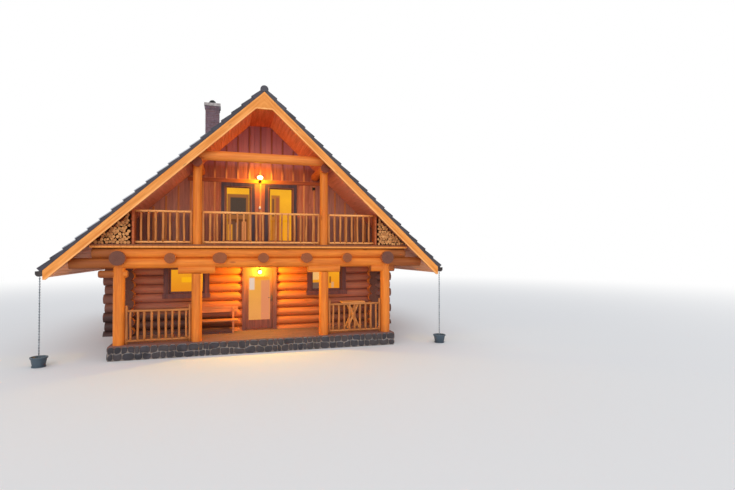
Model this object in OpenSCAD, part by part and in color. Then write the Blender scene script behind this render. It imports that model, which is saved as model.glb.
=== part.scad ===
// Round-log chalet: saddle-notched log walls on a stone plinth, with a porch, a balcony
// and one steep gable roof.
// Sizes are millimetres. X runs along the gable front, Y runs into the house, Z is up.
// The origin is the middle of the plinth's underside. The porch looks along -Y.

/* [Log work] */
// Radius of a wall log.
log_r = 150; // [120:5:160]
// Depth of the scribed groove in which each wall log lies on the one below it.
scribe = 17; // [8:1:30]
// Radius of the plate log that ends each side wall and carries the porch corners.
plate_r = 200; // [160:5:215]
// How far a wall log runs on past the crossing at a corner.
log_tail = 745; // [400:5:900]
// Room between two notched logs, for the scribed fit.
fit = 0.3; // [0.2:0.1:0.8]

/* [Plan] */
// Half the distance between the side walls, log centre to log centre.
side_x = 3900; // [3600:10:4700]
// Distance from the porch posts to the front wall, centre to centre.
porch_depth = 1620; // [1300:10:2400]
// Distance from the front wall to the back wall, centre to centre.
house_depth = 9400; // [7000:50:11000]
// Height of the plinth with the porch slab on it.
plinth_h = 400; // [250:10:700]
// Thickness of the porch slab on the stones.
porch_t = 90; // [50:5:120]
// How far the plinth stands out past the log centres.
plinth_out = 230; // [160:5:450]
// Half the distance between the two inner porch posts.
inner_x = 1870; // [1600:10:2300]
// Distance from one floor joist to the next.
joist_gap = 1285; // [1100:5:1500]

/* [Roof] */
// Slope of the roof, in degrees.
pitch = 43; // [35:0.5:46]
// Height of the roof's underside over the side walls' centre line, above the upper floor.
knee_h = 678; // [560:2:900]
// How far the eaves run out past the side walls' centre line, level.
eave_out = 1700; // [1300:10:2000]
// How far the roof boards run out in front of the porch posts.
roof_front = 380; // [300:10:900]
// How far the roof boards run out behind the back wall.
roof_back = 750; // [500:10:1200]
// Thickness of the roof boards and rafters together.
deck_t = 150; // [120:5:200]
// Thickness of a tile course at its lower edge, above the roof boards.
tile_hi = 130; // [90:5:160]
// Thickness of a tile course where the next one covers it.
tile_lo = 92; // [60:2:120]
// Number of tile courses on each slope.
tile_rows = 20; // [14:1:26]
// Width of a barge board, square to the slope.
barge_w = 220; // [180:5:260]
// Thickness of a barge board.
barge_t = 45; // [30:1:60]

/* [Openings] */
// Clear width between the jambs of the entrance.
door_w = 910; // [800:5:1000]
// Height of the entrance leaf.
door_h = 1975; // [1850:5:2020]
// Width of each ground-floor window opening in the logs.
win_w = 1160; // [900:10:1300]
// Distance from the middle of the front to the middle of each front window.
win_x = 2265; // [2000:5:2500]
// Width of each balcony doorway.
loft_w = 870; // [760:5:950]
// Height of each balcony doorway.
loft_h = 1975; // [1800:5:2000]
// Distance from the middle of the gable to the middle of each balcony doorway.
loft_x = 700; // [640:2:800]
// Width of the casing boards round doors and windows.
casing_w = 100; // [80:5:120]
// Height of the front and back windows' sills above the floor.
sill_h = 1200; // [1050:10:1250]

/* [Railings] */
// Height of the balcony's top rail above its deck, at the rail's centre.
rail_h = 945; // [850:5:1000]
// Radius of the rails.
rail_r = 33; // [25:1:45]
// Radius of a branch used as a baluster.
baluster_r = 24; // [16:1:30]
// Number of balusters in the wide middle bay.
middle_balusters = 17; // [10:1:20]
// Number of balusters in each side bay of the balcony.
side_balusters = 7; // [5:1:10]
// Number of balusters in each bay of the porch.
porch_balusters = 9; // [5:1:11]
// Height of the porch's top rail above its floor, at the rail's centre.
porch_rail_h = 925; // [850:5:1000]

/* [Chimney] */
// Width of the chimney stack.
stack_w = 490; // [400:10:700]
// Distance of the stack from the ridge.
stack_x = 1610; // [1000:10:2200]
// Distance of the stack behind the porch posts.
stack_y = 4200; // [3000:50:6000]
// Height of the top of the stack's cap above the ridge of the roof boards.
stack_rise = 860; // [600:10:1400]

/* [Hidden] */
$fn = 64;

// How far a cutting shape runs past what it cuts, and half the length of the cutters for log seats.
past = 1;
seat = 400;

// Plan lines. The plinth is centred on the origin, and its front edge stands out less than the log tails.
plinth_len = porch_depth + house_depth + 2 * plinth_out;
post_y = -plinth_len / 2 + plinth_out;
front_y = post_y + porch_depth;
back_y = front_y + house_depth;
plinth_x = side_x + plinth_out;
log_end = side_x + log_tail;
front_stagger = 45;
side_end = 400;
side_stagger = 40;
plate_out = 290;
joist_out = 270;
joist_back = 350;

// Heights. Logs of the front and back walls stand on whole courses, those of the side walls
// on half courses.
// The seam over the entrance is the first one that clears its head.
floor_z = plinth_h;
floor_t = 22;
leaf_gap = 8;
leaf_lift = 10;
leaf_z0 = floor_z + floor_t + leaf_lift;
leaf_z1 = leaf_z0 + door_h;
head_t = 60;
course = 2 * log_r - scribe;
seam = ceil((leaf_z1 + leaf_gap + head_t - floor_z) / course - 0.5) + 0.5;
head_log = seam + 0.5;
top_log = seam + 1.5;
plate_log = seam + 1;
seam_z = floor_z + seam * course;
beam_lower_z = floor_z + head_log * course;
beam_upper_z = floor_z + top_log * course;
joist_z = floor_z + plate_log * course;
slab_under = beam_upper_z + log_r;
slab_t = 103;
deck_z = slab_under + slab_t;

// Roof lines.
tan_p = tan(pitch);
cos_p = cos(pitch);
sin_p = sin(pitch);
eave_x = side_x + eave_out;
under_ridge = deck_z + knee_h + side_x * tan_p;
ridge_z = under_ridge + deck_t / cos_p;
stack_top = ridge_z + stack_rise;
roof_y0 = post_y - roof_front;
roof_y1 = back_y + roof_back;
tile_over = 45;
gusset_h = 315;
gusset_z = under_ridge - gusset_h;
purlin_r = 140;
purlin_in = 130;
purlin_z = under_ridge - inner_x * tan_p - (purlin_r + fit) / cos_p;
balcony_post_r = 125;
tie_r = 145;
tie_notch = 45;
tie_z = purlin_z + purlin_r + tie_r - tie_notch;
gable_t = 120;
loft_wall_x = side_x + log_r;

function course_z(i) = floor_z + i * course;
function under(x) = under_ridge - abs(x) * tan_p;
function roof_x(s, o) = s * cos_p + o * sin_p;
function roof_zz(s, o) = ridge_z - s * sin_p + o * cos_p;

// A box between two corners.
module block(a, b) {
  translate(a) cube([b[0] - a[0], b[1] - a[1], b[2] - a[2]]);
}

// Round logs along X and along Y.
module log_x(x0, x1, y, z, r) {
  translate([x0, y, z]) rotate([0, 90, 0]) cylinder(r = r, h = x1 - x0);
}
module log_y(y0, y1, x, z, r) {
  translate([x, y1, z]) rotate([90, 0, 0]) cylinder(r = r, h = y1 - y0);
}

// A flat shape drawn as (x, z) and drawn out from y0 to y1.
module along_y(y0, y1) {
  translate([0, y1, 0]) rotate([90, 0, 0]) linear_extrude(height = y1 - y0) children();
}

module mirrored() {
  children();
  mirror([1, 0, 0]) children();
}

// One log of a front or back wall, hewn flat on the plinth and notched over the side logs just under it.
module front_log(i, y) {
  reach = log_end - (i % 2) * front_stagger;
  low_r = (i == top_log ? plate_r : log_r) + fit;
  difference() {
    log_x(-reach, reach, y, course_z(i), log_r);
    if (i == 0) block([-reach - past, y - log_r - past, floor_z - log_r - past],
      [reach + past, y + log_r + past, floor_z + fit]);
    if (i > 0) for (x = [-side_x, side_x]) log_y(y - 2 * log_r, y + 2 * log_r, x, course_z(i - 0.5), low_r);
    if (i == top_log) for (k = [-2 : 2])
      log_y(y - seat, y + seat, k * joist_gap, joist_z, log_r + fit);
  }
}

// One log of a side wall, notched over the front and back logs just under it.
module side_log(i, x, y0, y1, r) {
  difference() {
    log_y(y0, y1, x, course_z(i), r);
    for (y = [front_y, back_y]) log_x(x - 2 * r, x + 2 * r, y, course_z(i - 0.5), log_r + fit);
  }
}

// The front wall below the head, from x0 to x1.
module front_wall_part(x0, x1) {
  intersection() {
    union() for (i = [0 : head_log]) front_log(i, front_y);
    block([x0, front_y - 2 * log_r, floor_z], [x1, front_y + 2 * log_r, seam_z]);
  }
}

jamb_t = 45;
door_hole = door_w / 2 + jamb_t;
sill_z = floor_z + sill_h;

module window_hole(x, y, z0, z1) {
  block([x - win_w / 2, y - 2 * log_r, z0], [x + win_w / 2, y + 2 * log_r, z1]);
}

module front_wall_left() {
  color("peru") difference() {
    front_wall_part(-log_end - past, -door_hole);
    window_hole(-win_x, front_y, sill_z, seam_z + past);
  }
}

module front_wall_right() {
  color("peru") difference() {
    front_wall_part(door_hole, log_end + past);
    window_hole(win_x, front_y, sill_z, seam_z + past);
  }
}

module front_wall_head() {
  color("peru") intersection() {
    union() for (i = [head_log, top_log]) front_log(i, front_y);
    block([-log_end - past, front_y - 2 * log_r, seam_z + fit],
      [log_end + past, front_y + 2 * log_r, beam_upper_z + 2 * log_r]);
  }
}

module back_wall() {
  color("peru") difference() {
    union() for (i = [0 : top_log]) front_log(i, back_y);
    for (x = [-win_x, win_x]) window_hole(x, back_y, sill_z, seam_z);
  }
}

// Side windows sit between whole logs, counted down from the porch beam, at even parts
// of the wall's length.
side_win_logs = [4, 1];
side_win_part = 0.27;
side_win_z0 = course_z(head_log - side_win_logs[0]);
side_win_z1 = course_z(head_log - side_win_logs[1]);
side_win_y = [front_y + house_depth * side_win_part, back_y - house_depth * side_win_part];

// The top log is hewn to the slope of the roof.
knee_logs = ceil((under_ridge - side_x * tan_p - floor_z) / course);
module side_wall(x) {
  color("peru") difference() {
    union() {
      for (i = [0 : head_log - 1])
        side_log(i + 0.5, x, front_y - side_end + (i % 2) * side_stagger,
          back_y + side_end - (i % 2) * side_stagger, log_r);
      side_log(plate_log, x, post_y - plate_out, back_y + side_end, plate_r);
      for (i = [top_log : knee_logs])
        side_log(i + 0.5, x, front_y + gable_t / 2 + fit, back_y - gable_t / 2 - fit, log_r);
    }
    block([x - 2 * log_r, front_y - side_end - past, 0],
      [x + 2 * log_r, back_y + side_end + past, floor_z + fit]);
    log_x(x - 2 * plate_r, x + 2 * plate_r, post_y, beam_lower_z, log_r + fit);
    for (y = side_win_y)
      block([x - 2 * log_r, y - win_w / 2, side_win_z0], [x + 2 * log_r, y + win_w / 2, side_win_z1]);
    along_y(front_y, back_y) polygon([
      [x - 2 * log_r, under(x - 2 * log_r) - fit / cos_p],
      [x + 2 * log_r, under(x + 2 * log_r) - fit / cos_p],
      [x + 2 * log_r, ridge_z], [x - 2 * log_r, ridge_z]]);
  }
}

module left_wall() {
  side_wall(-side_x);
}

module right_wall() {
  side_wall(side_x);
}

// Stone plinth, lower in front, where the porch slab lies on it and runs in under the front wall.
porch_back = front_y - 60;
module stone_plinth() {
  color("dimgray") difference() {
    block([-plinth_x, -plinth_len / 2, 0], [plinth_x, plinth_len / 2, plinth_h]);
    block([-plinth_x - past, -plinth_len / 2 - past, plinth_h - porch_t],
      [plinth_x + past, porch_back, plinth_h + past]);
  }
}

module porch_floor() {
  color("sienna") block([-plinth_x, -plinth_len / 2, plinth_h - porch_t],
    [plinth_x, porch_back - fit, plinth_h]);
}

module ground_floor() {
  color("burlywood") block([-side_x + log_r + fit, front_y + log_r + fit, floor_z],
    [side_x - log_r - fit, back_y - log_r - fit, floor_z + floor_t]);
}

// Entrance: frame, leaf, glass and handle.
leaf_t = 52;
leaf_y = front_y - 70;
stop_w = 18;
casing_t = 40;
casing_up = 60;
hinge_r = 7;
hinge_h = 90;
hinge_room = 6;
hinge_in = 150;
hinge_x = -door_w / 2 + leaf_gap / 2;
hinge_y = leaf_y + leaf_t + hinge_r + 1;
hinge_z = [leaf_z0 + hinge_in, leaf_z0 + door_h / 2, leaf_z1 - hinge_in - hinge_h];

module door_frame() {
  hole = door_w / 2;
  head = leaf_z1 + leaf_gap;
  color("saddlebrown") difference() {
    union() {
      block([-door_hole + fit, front_y - log_r - fit, floor_z + fit],
        [door_hole - fit, front_y + log_r, seam_z - fit]);
      block([-hole - casing_w, front_y - log_r - casing_t, floor_z + fit],
        [hole + casing_w, front_y - log_r - fit, seam_z + casing_up]);
    }
    block([-hole, leaf_y - leaf_gap, floor_z + floor_t], [hole, front_y + log_r + past, head]);
    block([-hole + stop_w, front_y - log_r - casing_t - past, floor_z + floor_t],
      [hole - stop_w, leaf_y, head - stop_w]);
    for (z = hinge_z) translate([hinge_x, hinge_y, z - leaf_gap])
      cylinder(r = hinge_r + hinge_room, h = hinge_h + 2 * leaf_gap);
  }
}

glass_w = 700;
low_rail = 290;
top_rail = 245;
pane_t = 12;
glass_z0 = leaf_z0 + low_rail;
glass_z1 = leaf_z1 - top_rail;

module entrance_door() {
  color("brown") difference() {
    block([-door_w / 2 + leaf_gap, leaf_y, leaf_z0], [door_w / 2 - leaf_gap, leaf_y + leaf_t, leaf_z1]);
    block([-glass_w / 2, leaf_y - past, glass_z0], [glass_w / 2, leaf_y + leaf_t + past, glass_z1]);
  }
}

module door_glass() {
  y = leaf_y + (leaf_t - pane_t) / 2;
  color("lightyellow", 0.5) block([-glass_w / 2 + fit, y, glass_z0 + fit],
    [glass_w / 2 - fit, y + pane_t, glass_z1 - fit]);
}

// A lever handle on a long plate, and three hinges whose barrels share the axis that the leaf turns about.
module door_ironwork() {
  x = door_w / 2 - 52;
  z = leaf_z0 + 1020;
  inside = leaf_y + leaf_t;
  hinge_plate = [45, 4];
  plate = [40, 6, 200];
  lever = [120, 14, 9];
  lever_out = 42;
  color("silver") {
    for (h = hinge_z) {
      translate([hinge_x, hinge_y, h]) cylinder(r = hinge_r, h = hinge_h);
      block([hinge_x, inside + fit, h], [hinge_x + hinge_plate[0], inside + hinge_plate[1], h + hinge_h]);
    }
    block([x - plate[0] / 2, leaf_y - plate[1], z - plate[2] * 0.55],
      [x + plate[0] / 2, leaf_y - fit, z + plate[2] * 0.45]);
    translate([x, leaf_y - plate[1] + past, z]) rotate([90, 0, 0]) cylinder(r = lever[2], h = lever_out);
    block([x - lever[0], leaf_y - lever_out - lever[1], z - lever[2]],
      [x + lever[2], leaf_y - lever_out, z + lever[2]]);
  }
}

// A window set in a log wall. Local Y runs into the wall from the logs' outer face.
sash_w = 62;
sash_t = 50;
sash_in = 60;
sill_t = 60;
sill_drop = 80;
sill_out = 95;
sill_ear = 30;
win_head = 90;
function sash_y(t) = min(sash_in, t / 4);
module window_unit(w, h, t) {
  y = sash_y(t);
  inner = w / 2 - jamb_t;
  difference() {
    union() {
      block([-w / 2 + fit, -fit, fit], [w / 2 - fit, t, h - fit]);
      block([-w / 2 - casing_w, -casing_t, 0], [w / 2 + casing_w, -fit, h + win_head]);
      block([-w / 2 - casing_w - sill_ear, -sill_out, -sill_drop],
        [w / 2 + casing_w + sill_ear, -fit, sill_t]);
    }
    block([-inner, -casing_t - past, sill_t + fit], [inner, y, h - jamb_t]);
    block([-inner + sash_w, -past, sill_t + sash_w],
      [inner - sash_w, y + sash_t + past, h - jamb_t - sash_w]);
    block([-inner, y + sash_t, sill_t], [inner, t + past, h - jamb_t]);
  }
}
module window_pane(w, h, t) {
  inner = w / 2 - jamb_t - sash_w - fit;
  y = sash_y(t) + (sash_t - pane_t) / 2;
  block([-inner, y, sill_t + sash_w + fit], [inner, y + pane_t, h - jamb_t - sash_w - fit]);
}

front_win_h = seam_z - sill_z;
side_win_h = side_win_z1 - side_win_z0;
loft_sill = 820;
loft_win_z = deck_z + loft_sill;
loft_win_h = deck_z + loft_h - loft_win_z;

// Sets a child shape at each window: child 0 in front and back, child 1 in the sides,
// child 2 in the back gable.
module at_windows() {
  for (x = [-win_x, win_x]) {
    translate([x, front_y - log_r, sill_z]) children(0);
    translate([x, back_y + log_r, sill_z]) rotate([0, 0, 180]) children(0);
  }
  for (y = side_win_y) {
    translate([side_x + log_r, y, side_win_z0]) rotate([0, 0, 90]) children(1);
    translate([-side_x - log_r, y, side_win_z0]) rotate([0, 0, -90]) children(1);
  }
  for (x = [-loft_x, loft_x])
    translate([x, back_y + gable_t / 2, loft_win_z]) rotate([0, 0, 180]) children(2);
}

module window_frames() {
  color("saddlebrown") at_windows() {
    window_unit(win_w, front_win_h, 2 * log_r);
    window_unit(win_w, side_win_h, 2 * log_r);
    window_unit(loft_w, loft_win_h, gable_t);
  }
}

module window_glass() {
  color("lightyellow", 0.5) at_windows() {
    window_pane(win_w, front_win_h, 2 * log_r);
    window_pane(win_w, side_win_h, 2 * log_r);
    window_pane(loft_w, loft_win_h, gable_t);
  }
}

// Posts. Corner posts are coped to the logs they carry, the inner ones stand under bolsters,
// and two more stand over those on the balcony, coped to the purlins.
inner_post_r = log_r - 5;
cope = 40;
bolster_l = 500;
bolster_r = 135;
bolster_z = beam_lower_z - log_r - 45;
bolster_flat = bolster_z - 115;
module log_posts() {
  color("peru") mirrored() {
    difference() {
      translate([side_x, post_y, floor_z]) cylinder(r = log_r, h = beam_lower_z - cope - floor_z);
      log_x(side_x - seat, side_x + seat, post_y, beam_lower_z, log_r + fit);
      log_y(post_y - seat, post_y + seat, side_x, joist_z, plate_r + fit);
    }
    translate([inner_x, post_y, floor_z]) cylinder(r = inner_post_r, h = bolster_flat - fit - floor_z);
    difference() {
      translate([inner_x, post_y, deck_z]) cylinder(r = balcony_post_r, h = purlin_z - deck_z);
      log_y(post_y - seat, post_y + seat, inner_x, purlin_z, purlin_r + fit);
    }
  }
}

module post_bolsters() {
  end = bolster_l + past;
  color("peru") mirrored() difference() {
    log_x(inner_x - bolster_l, inner_x + bolster_l, post_y, bolster_z, bolster_r);
    log_x(inner_x - end, inner_x + end, post_y, beam_lower_z, log_r + fit);
    block([inner_x - end, post_y - bolster_r - past, 0],
      [inner_x + end, post_y + bolster_r + past, bolster_flat]);
  }
}

// Everything above the roof's underside on the right, from x0 outwards, with room for the seat.
module above_roof(x0, y) {
  along_y(y - seat, y + seat) polygon([
    [x0, under(x0) - fit / cos_p], [eave_x, under(eave_x) - fit / cos_p],
    [eave_x, ridge_z], [x0, ridge_z]]);
}

// The lower beam runs out until its upper part meets the roof boards, the upper one stops short.
beam_meet = 0.57 * log_r;
lower_beam_x = min(eave_x - 60, (under_ridge - beam_lower_z - beam_meet) / tan_p);
upper_beam_x = side_x + 660;
module front_beam_lower() {
  color("peru") difference() {
    log_x(-lower_beam_x, lower_beam_x, post_y, beam_lower_z, log_r);
    mirrored() above_roof(side_x, post_y);
  }
}

module front_beam_upper() {
  color("peru") difference() {
    log_x(-upper_beam_x, upper_beam_x, post_y, beam_upper_z, log_r);
    log_x(-upper_beam_x - past, upper_beam_x + past, post_y, beam_lower_z, log_r + fit);
    for (x = [-side_x, side_x]) log_y(post_y - seat, post_y + seat, x, joist_z, plate_r + fit);
    for (k = [-2 : 2]) log_y(post_y - seat, post_y + seat, k * joist_gap, joist_z, log_r + fit);
  }
}

module floor_joists() {
  color("peru") for (k = [-2 : 2]) difference() {
    log_y(post_y - joist_out, back_y + joist_back, k * joist_gap, joist_z, log_r);
    for (y = [post_y, front_y, back_y])
      log_x(k * joist_gap - seat, k * joist_gap + seat, y, beam_lower_z, log_r + fit);
  }
}

// Balcony deck and loft floor in one: boards over everything, packing down to the joists inside.
deck_out = 170;
deck_gap = 25;
packing_gap = 10;
slab_x = (under_ridge - deck_z - deck_gap) / tan_p;
inner_slab_x = side_x - plate_r - packing_gap;
module upper_floor() {
  packing_z = joist_z + log_r + fit;
  color("sienna") {
    block([-slab_x, post_y - deck_out, slab_under + fit], [slab_x, front_y + gable_t / 2, deck_z]);
    block([-inner_slab_x, front_y, slab_under + fit], [inner_slab_x, back_y + log_r, deck_z]);
    for (y = [[post_y, front_y], [front_y, back_y]])
      block([-inner_slab_x, y[0] + log_r + packing_gap, packing_z],
        [inner_slab_x, y[1] - log_r - packing_gap, slab_under + past]);
  }
}

// The tie lies over both purlins and ends against the roof boards.
module tie_beam() {
  color("peru") difference() {
    log_x(-inner_x, inner_x, post_y, tie_z, tie_r);
    for (x = [-inner_x, inner_x]) log_y(post_y - seat, post_y + seat, x, purlin_z, purlin_r + fit);
    mirrored() above_roof(inner_x / 2, post_y);
  }
}

module roof_purlins() {
  color("peru") mirrored() log_y(roof_y0 + purlin_in, roof_y1 - purlin_in, inner_x, purlin_z, purlin_r);
}

module ridge_outline(gap) {
  half = (under_ridge - gusset_z) / tan_p;
  polygon([[-half - gap, gusset_z - gap], [half + gap, gusset_z - gap],
    [0, under_ridge - fit / cos_p + gap * 2]]);
}

module ridge_beam() {
  color("peru") along_y(roof_y0 + past, roof_y1 - past) ridge_outline(0);
}

// Gable walls stand on the upper floor and close against the roof boards.
module gable(y, hole_z) {
  difference() {
    along_y(y - gable_t / 2, y + gable_t / 2) polygon([
      [-loft_wall_x, deck_z], [loft_wall_x, deck_z],
      [loft_wall_x, under(loft_wall_x) - fit / cos_p], [0, under_ridge - fit / cos_p],
      [-loft_wall_x, under(loft_wall_x) - fit / cos_p]]);
    for (x = [-inner_x, inner_x]) log_y(y - seat, y + seat, x, purlin_z, purlin_r + fit);
    along_y(y - seat, y + seat) ridge_outline(fit);
    for (x = [-loft_x, loft_x])
      block([x - loft_w / 2, y - gable_t, hole_z], [x + loft_w / 2, y + gable_t, deck_z + loft_h]);
  }
}

// A band board runs across the front gable on top of the doors' casings.
band_z = deck_z + loft_h + casing_w + fit;
band_w = 125;
band_t = 25;
module gable_wall_front() {
  half = (under_ridge - fit / cos_p - band_z - band_w) / tan_p;
  color("brown") {
    gable(front_y, deck_z - past);
    difference() {
      block([-half, front_y - gable_t / 2 - band_t, band_z], [half, front_y, band_z + band_w]);
      for (x = [-inner_x, inner_x]) log_y(front_y - seat, front_y + seat, x, purlin_z, purlin_r + fit);
    }
  }
}

module gable_wall_back() {
  color("brown") gable(back_y, loft_win_z);
}

// A glazed balcony door: casing outside, frame in the doorway and a fixed leaf
// with stiles, a head and a foot.
loft_casing_t = 35;
loft_frame = 30;
loft_leaf_y = [-20, 35];
loft_stile = 75;
loft_head = 65;
loft_foot = 170;
module loft_door_unit() {
  w = loft_w / 2;
  difference() {
    union() {
      block([-w + fit, -gable_t / 2 - fit, fit], [w - fit, gable_t / 2, loft_h - fit]);
      block([-w - casing_w, -gable_t / 2 - loft_casing_t, fit],
        [w + casing_w, -gable_t / 2 - fit, loft_h + casing_w]);
    }
    for (y = [[-gable_t, loft_leaf_y[0]], [loft_leaf_y[1], gable_t]])
      block([-w + loft_frame, y[0], loft_frame], [w - loft_frame, y[1], loft_h - loft_frame]);
    block([-w + loft_stile, -gable_t, loft_foot], [w - loft_stile, gable_t, loft_h - loft_head]);
  }
}
module loft_pane() {
  w = loft_w / 2 - loft_stile - fit;
  block([-w, 0, loft_foot + fit], [w, pane_t, loft_h - loft_head - fit]);
}
module at_loft_doors() {
  for (x = [-loft_x, loft_x]) translate([x, front_y, deck_z]) children();
}

module balcony_doors() {
  color("saddlebrown") at_loft_doors() loft_door_unit();
}

module balcony_door_glass() {
  color("lightyellow", 0.5) at_loft_doors() loft_pane();
}

// A railing bay from x0 to x1 on the floor z: end stakes, two rails and n balusters.
module railing(x0, x1, z, low, high, stake_top, n) {
  step = (x1 - x0) / (n + 1);
  color("goldenrod") {
    for (x = [x0, x1]) translate([x, post_y, z]) cylinder(r = stake_r, h = stake_top);
    for (h = [low, high]) log_x(x0, x1, post_y, z + h, rail_r);
    for (k = [1 : n]) translate([x0 + k * step, post_y, z + low]) cylinder(r = baluster_r, h = high - low);
  }
}

stake_r = 36;
stake_gap = 4;
stake_over = 30;
balcony_low = 60;
porch_low = 95;
porch_stake = 155;
bay_in = balcony_post_r + stake_r + stake_gap;
bay_end = (under_ridge - deck_z - rail_h - rail_r - 5) / tan_p - stake_r;
end_board_t = 64;
end_board_w = 300;
module balcony_bay(x0, x1, n) {
  railing(x0, x1, deck_z, balcony_low, rail_h, rail_h + stake_over, n);
}
module end_board(x) {
  color("goldenrod") block([x - end_board_t / 2, post_y - end_board_w / 2, deck_z],
    [x + end_board_t / 2, post_y + end_board_w / 2, deck_z + rail_h + stake_over - 5]);
}
module balcony_railing_left() {
  balcony_bay(-bay_end, -inner_x - bay_in, side_balusters);
  end_board(-bay_end);
}
module balcony_railing_middle() {
  balcony_bay(-inner_x + bay_in, inner_x - bay_in, middle_balusters);
}
module balcony_railing_right() {
  balcony_bay(inner_x + bay_in, bay_end, side_balusters);
  end_board(bay_end);
}

porch_in = log_r + stake_r + stake_gap;
module porch_bay(x0, x1) {
  railing(x0, x1, floor_z, porch_low, porch_rail_h, porch_rail_h + porch_stake, porch_balusters);
}
module porch_railing_left() {
  porch_bay(-side_x + porch_in, -inner_x - porch_in);
}
module porch_railing_right() {
  porch_bay(inner_x + porch_in, side_x - porch_in);
}

// Roof boards, tiles, ridge and barge boards.
function band(o0, o1, s1) = [
  [0, ridge_z + o1 / cos_p], [roof_x(s1, 0), ridge_z - roof_x(s1, 0) * tan_p + o1 / cos_p],
  [roof_x(s1, 0), ridge_z - roof_x(s1, 0) * tan_p + o0 / cos_p], [0, ridge_z + o0 / cos_p]];

module roof_deck() {
  color("firebrick") along_y(roof_y0, roof_y1) mirrored() polygon(band(-deck_t, 0, eave_x / cos_p));
}

tile_run = (eave_x + tile_over) / cos_p / tile_rows;
verge = 30;
module roof_tiles() {
  steps = [for (k = [0 : tile_rows - 1]) each [
    [roof_x(k * tile_run, tile_lo), roof_zz(k * tile_run, tile_lo)],
    [roof_x((k + 1) * tile_run, tile_hi), roof_zz((k + 1) * tile_run, tile_hi)]]];
  end = roof_x(tile_rows * tile_run, fit);
  color("darkslategray") difference() {
    along_y(roof_y0 - verge, roof_y1 + verge) mirrored() polygon(concat(
      [[0, ridge_z + tile_lo / cos_p]], steps,
      [[end, ridge_z - end * tan_p + fit / cos_p], [0, ridge_z + fit / cos_p]]));
    block([-stack_x - stack_w / 2 - fit, post_y + stack_y - stack_w / 2 - fit, 0],
      [-stack_x + stack_w / 2 + fit, post_y + stack_y + stack_w / 2 + fit, stack_top]);
  }
}

// Round ridge tiles as one cap that saddles the top tiles.
cap_r = 120;
cap_sink = 105;
cap_over = 10;
module ridge_cap() {
  z = ridge_z + tile_hi / cos_p - cap_sink;
  color("darkslategray") difference() {
    log_y(roof_y0 - verge - cap_over, roof_y1 + verge + cap_over, 0, z, cap_r);
    along_y(roof_y0 - 2 * verge, roof_y1 + 2 * verge) mirrored() polygon([
      [0, ridge_z + tile_lo / cos_p + fit], [roof_x(tile_run, tile_hi), roof_zz(tile_run, tile_hi) + fit],
      [roof_x(tile_run, 0), roof_zz(tile_run, 0) - 2 * cap_r], [0, ridge_z - 2 * cap_r]]);
  }
}

// The boards' lower ends are cut level at the tip, and a gusset closes the corner under the ridge.
tip_h = 245;
module barge_outline() {
  eave_z = ridge_z - eave_x * tan_p;
  half = (ridge_z - gusset_z) / tan_p;
  intersection() {
    union() {
      mirrored() polygon(band(-barge_w, 0, eave_x / cos_p));
      polygon([[-half, gusset_z], [half, gusset_z], [0, ridge_z]]);
    }
    polygon([[-eave_x - past, eave_z - tip_h], [eave_x + past, eave_z - tip_h],
      [eave_x + past, eave_z], [0, ridge_z], [-eave_x - past, eave_z]]);
  }
}

// The front pair carries two shallow grooves along each board.
module barge_boards() {
  groove = 7;
  groove_w = 10;
  groove_at = [-0.36, -0.68];
  color("orange") {
    difference() {
      along_y(roof_y0 - barge_t, roof_y0 - fit) barge_outline();
      for (o = groove_at)
        along_y(roof_y0 - barge_t - past, roof_y0 - barge_t + groove) mirrored()
          polygon(band(o * barge_w - groove_w / 2, o * barge_w + groove_w / 2, eave_x / cos_p));
    }
    along_y(roof_y1 + fit, roof_y1 + barge_t) barge_outline();
  }
}

// Gutters: half-round troughs with closed ends, hung on the plumb cut of the roof boards.
gutter_r = 85;
gutter_up = 54;
gutter_drop = 75;
gutter_x = eave_x + fit + gutter_r;
gutter_z = ridge_z - eave_x * tan_p - gutter_drop;
module gutters() {
  wall = 6;
  end_room = 1;
  y0 = roof_y0 - verge - wall - end_room;
  y1 = roof_y1 + verge + wall + end_room;
  rim = gutter_z + gutter_up;
  color("dimgray") mirrored() difference() {
    union() {
      log_y(y0, y1, gutter_x, gutter_z, gutter_r);
      block([gutter_x - gutter_r, y0, gutter_z], [gutter_x + gutter_r, y1, rim]);
    }
    log_y(y0 + wall, y1 - wall, gutter_x, gutter_z, gutter_r - wall);
    block([gutter_x - gutter_r + wall, y0 + wall, gutter_z],
      [gutter_x + gutter_r - wall, y1 - wall, rim + past]);
    block([gutter_x - gutter_r - past, y0 - past, rim],
      [gutter_x + gutter_r + past, y1 + past, rim + gutter_r]);
  }
}

// Rain chains: slim cups on a rod, from each gutter's front end down to the bottom of a tub on a low foot.
chain_y = roof_y0 + 45;
chain_top = gutter_z - gutter_r - fit;
rod_r = 8;
cup_r = [11, 21];
cup_h = 58;
cup_gap = 72;
tub_r = [148, 190];
tub_h = 230;
tub_bottom = 40;
foot_h = 32;
module rain_chains() {
  z0 = foot_h + tub_bottom;
  color("dimgray") mirrored() translate([gutter_x, chain_y, 0]) {
    translate([0, 0, z0]) cylinder(r = rod_r, h = chain_top - z0);
    for (z = [z0 + tub_h : cup_gap : chain_top - cup_h - past])
      translate([0, 0, z]) cylinder(r1 = cup_r[0], r2 = cup_r[1], h = cup_h);
  }
}

module rain_tubs() {
  wall = 14;
  rim = [203, 35];
  color("darkslategray") mirrored() translate([gutter_x, chain_y, 0]) difference() {
    union() {
      cylinder(r = tub_r[0] + wall, h = foot_h);
      translate([0, 0, foot_h - past]) cylinder(r1 = tub_r[0], r2 = tub_r[1], h = tub_h + past);
      translate([0, 0, foot_h + tub_h - rim[1]]) cylinder(r = rim[0], h = rim[1]);
    }
    translate([0, 0, foot_h + tub_bottom])
      cylinder(r1 = tub_r[0] - wall, r2 = tub_r[1] - wall, h = tub_h - tub_bottom + past);
  }
}

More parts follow.
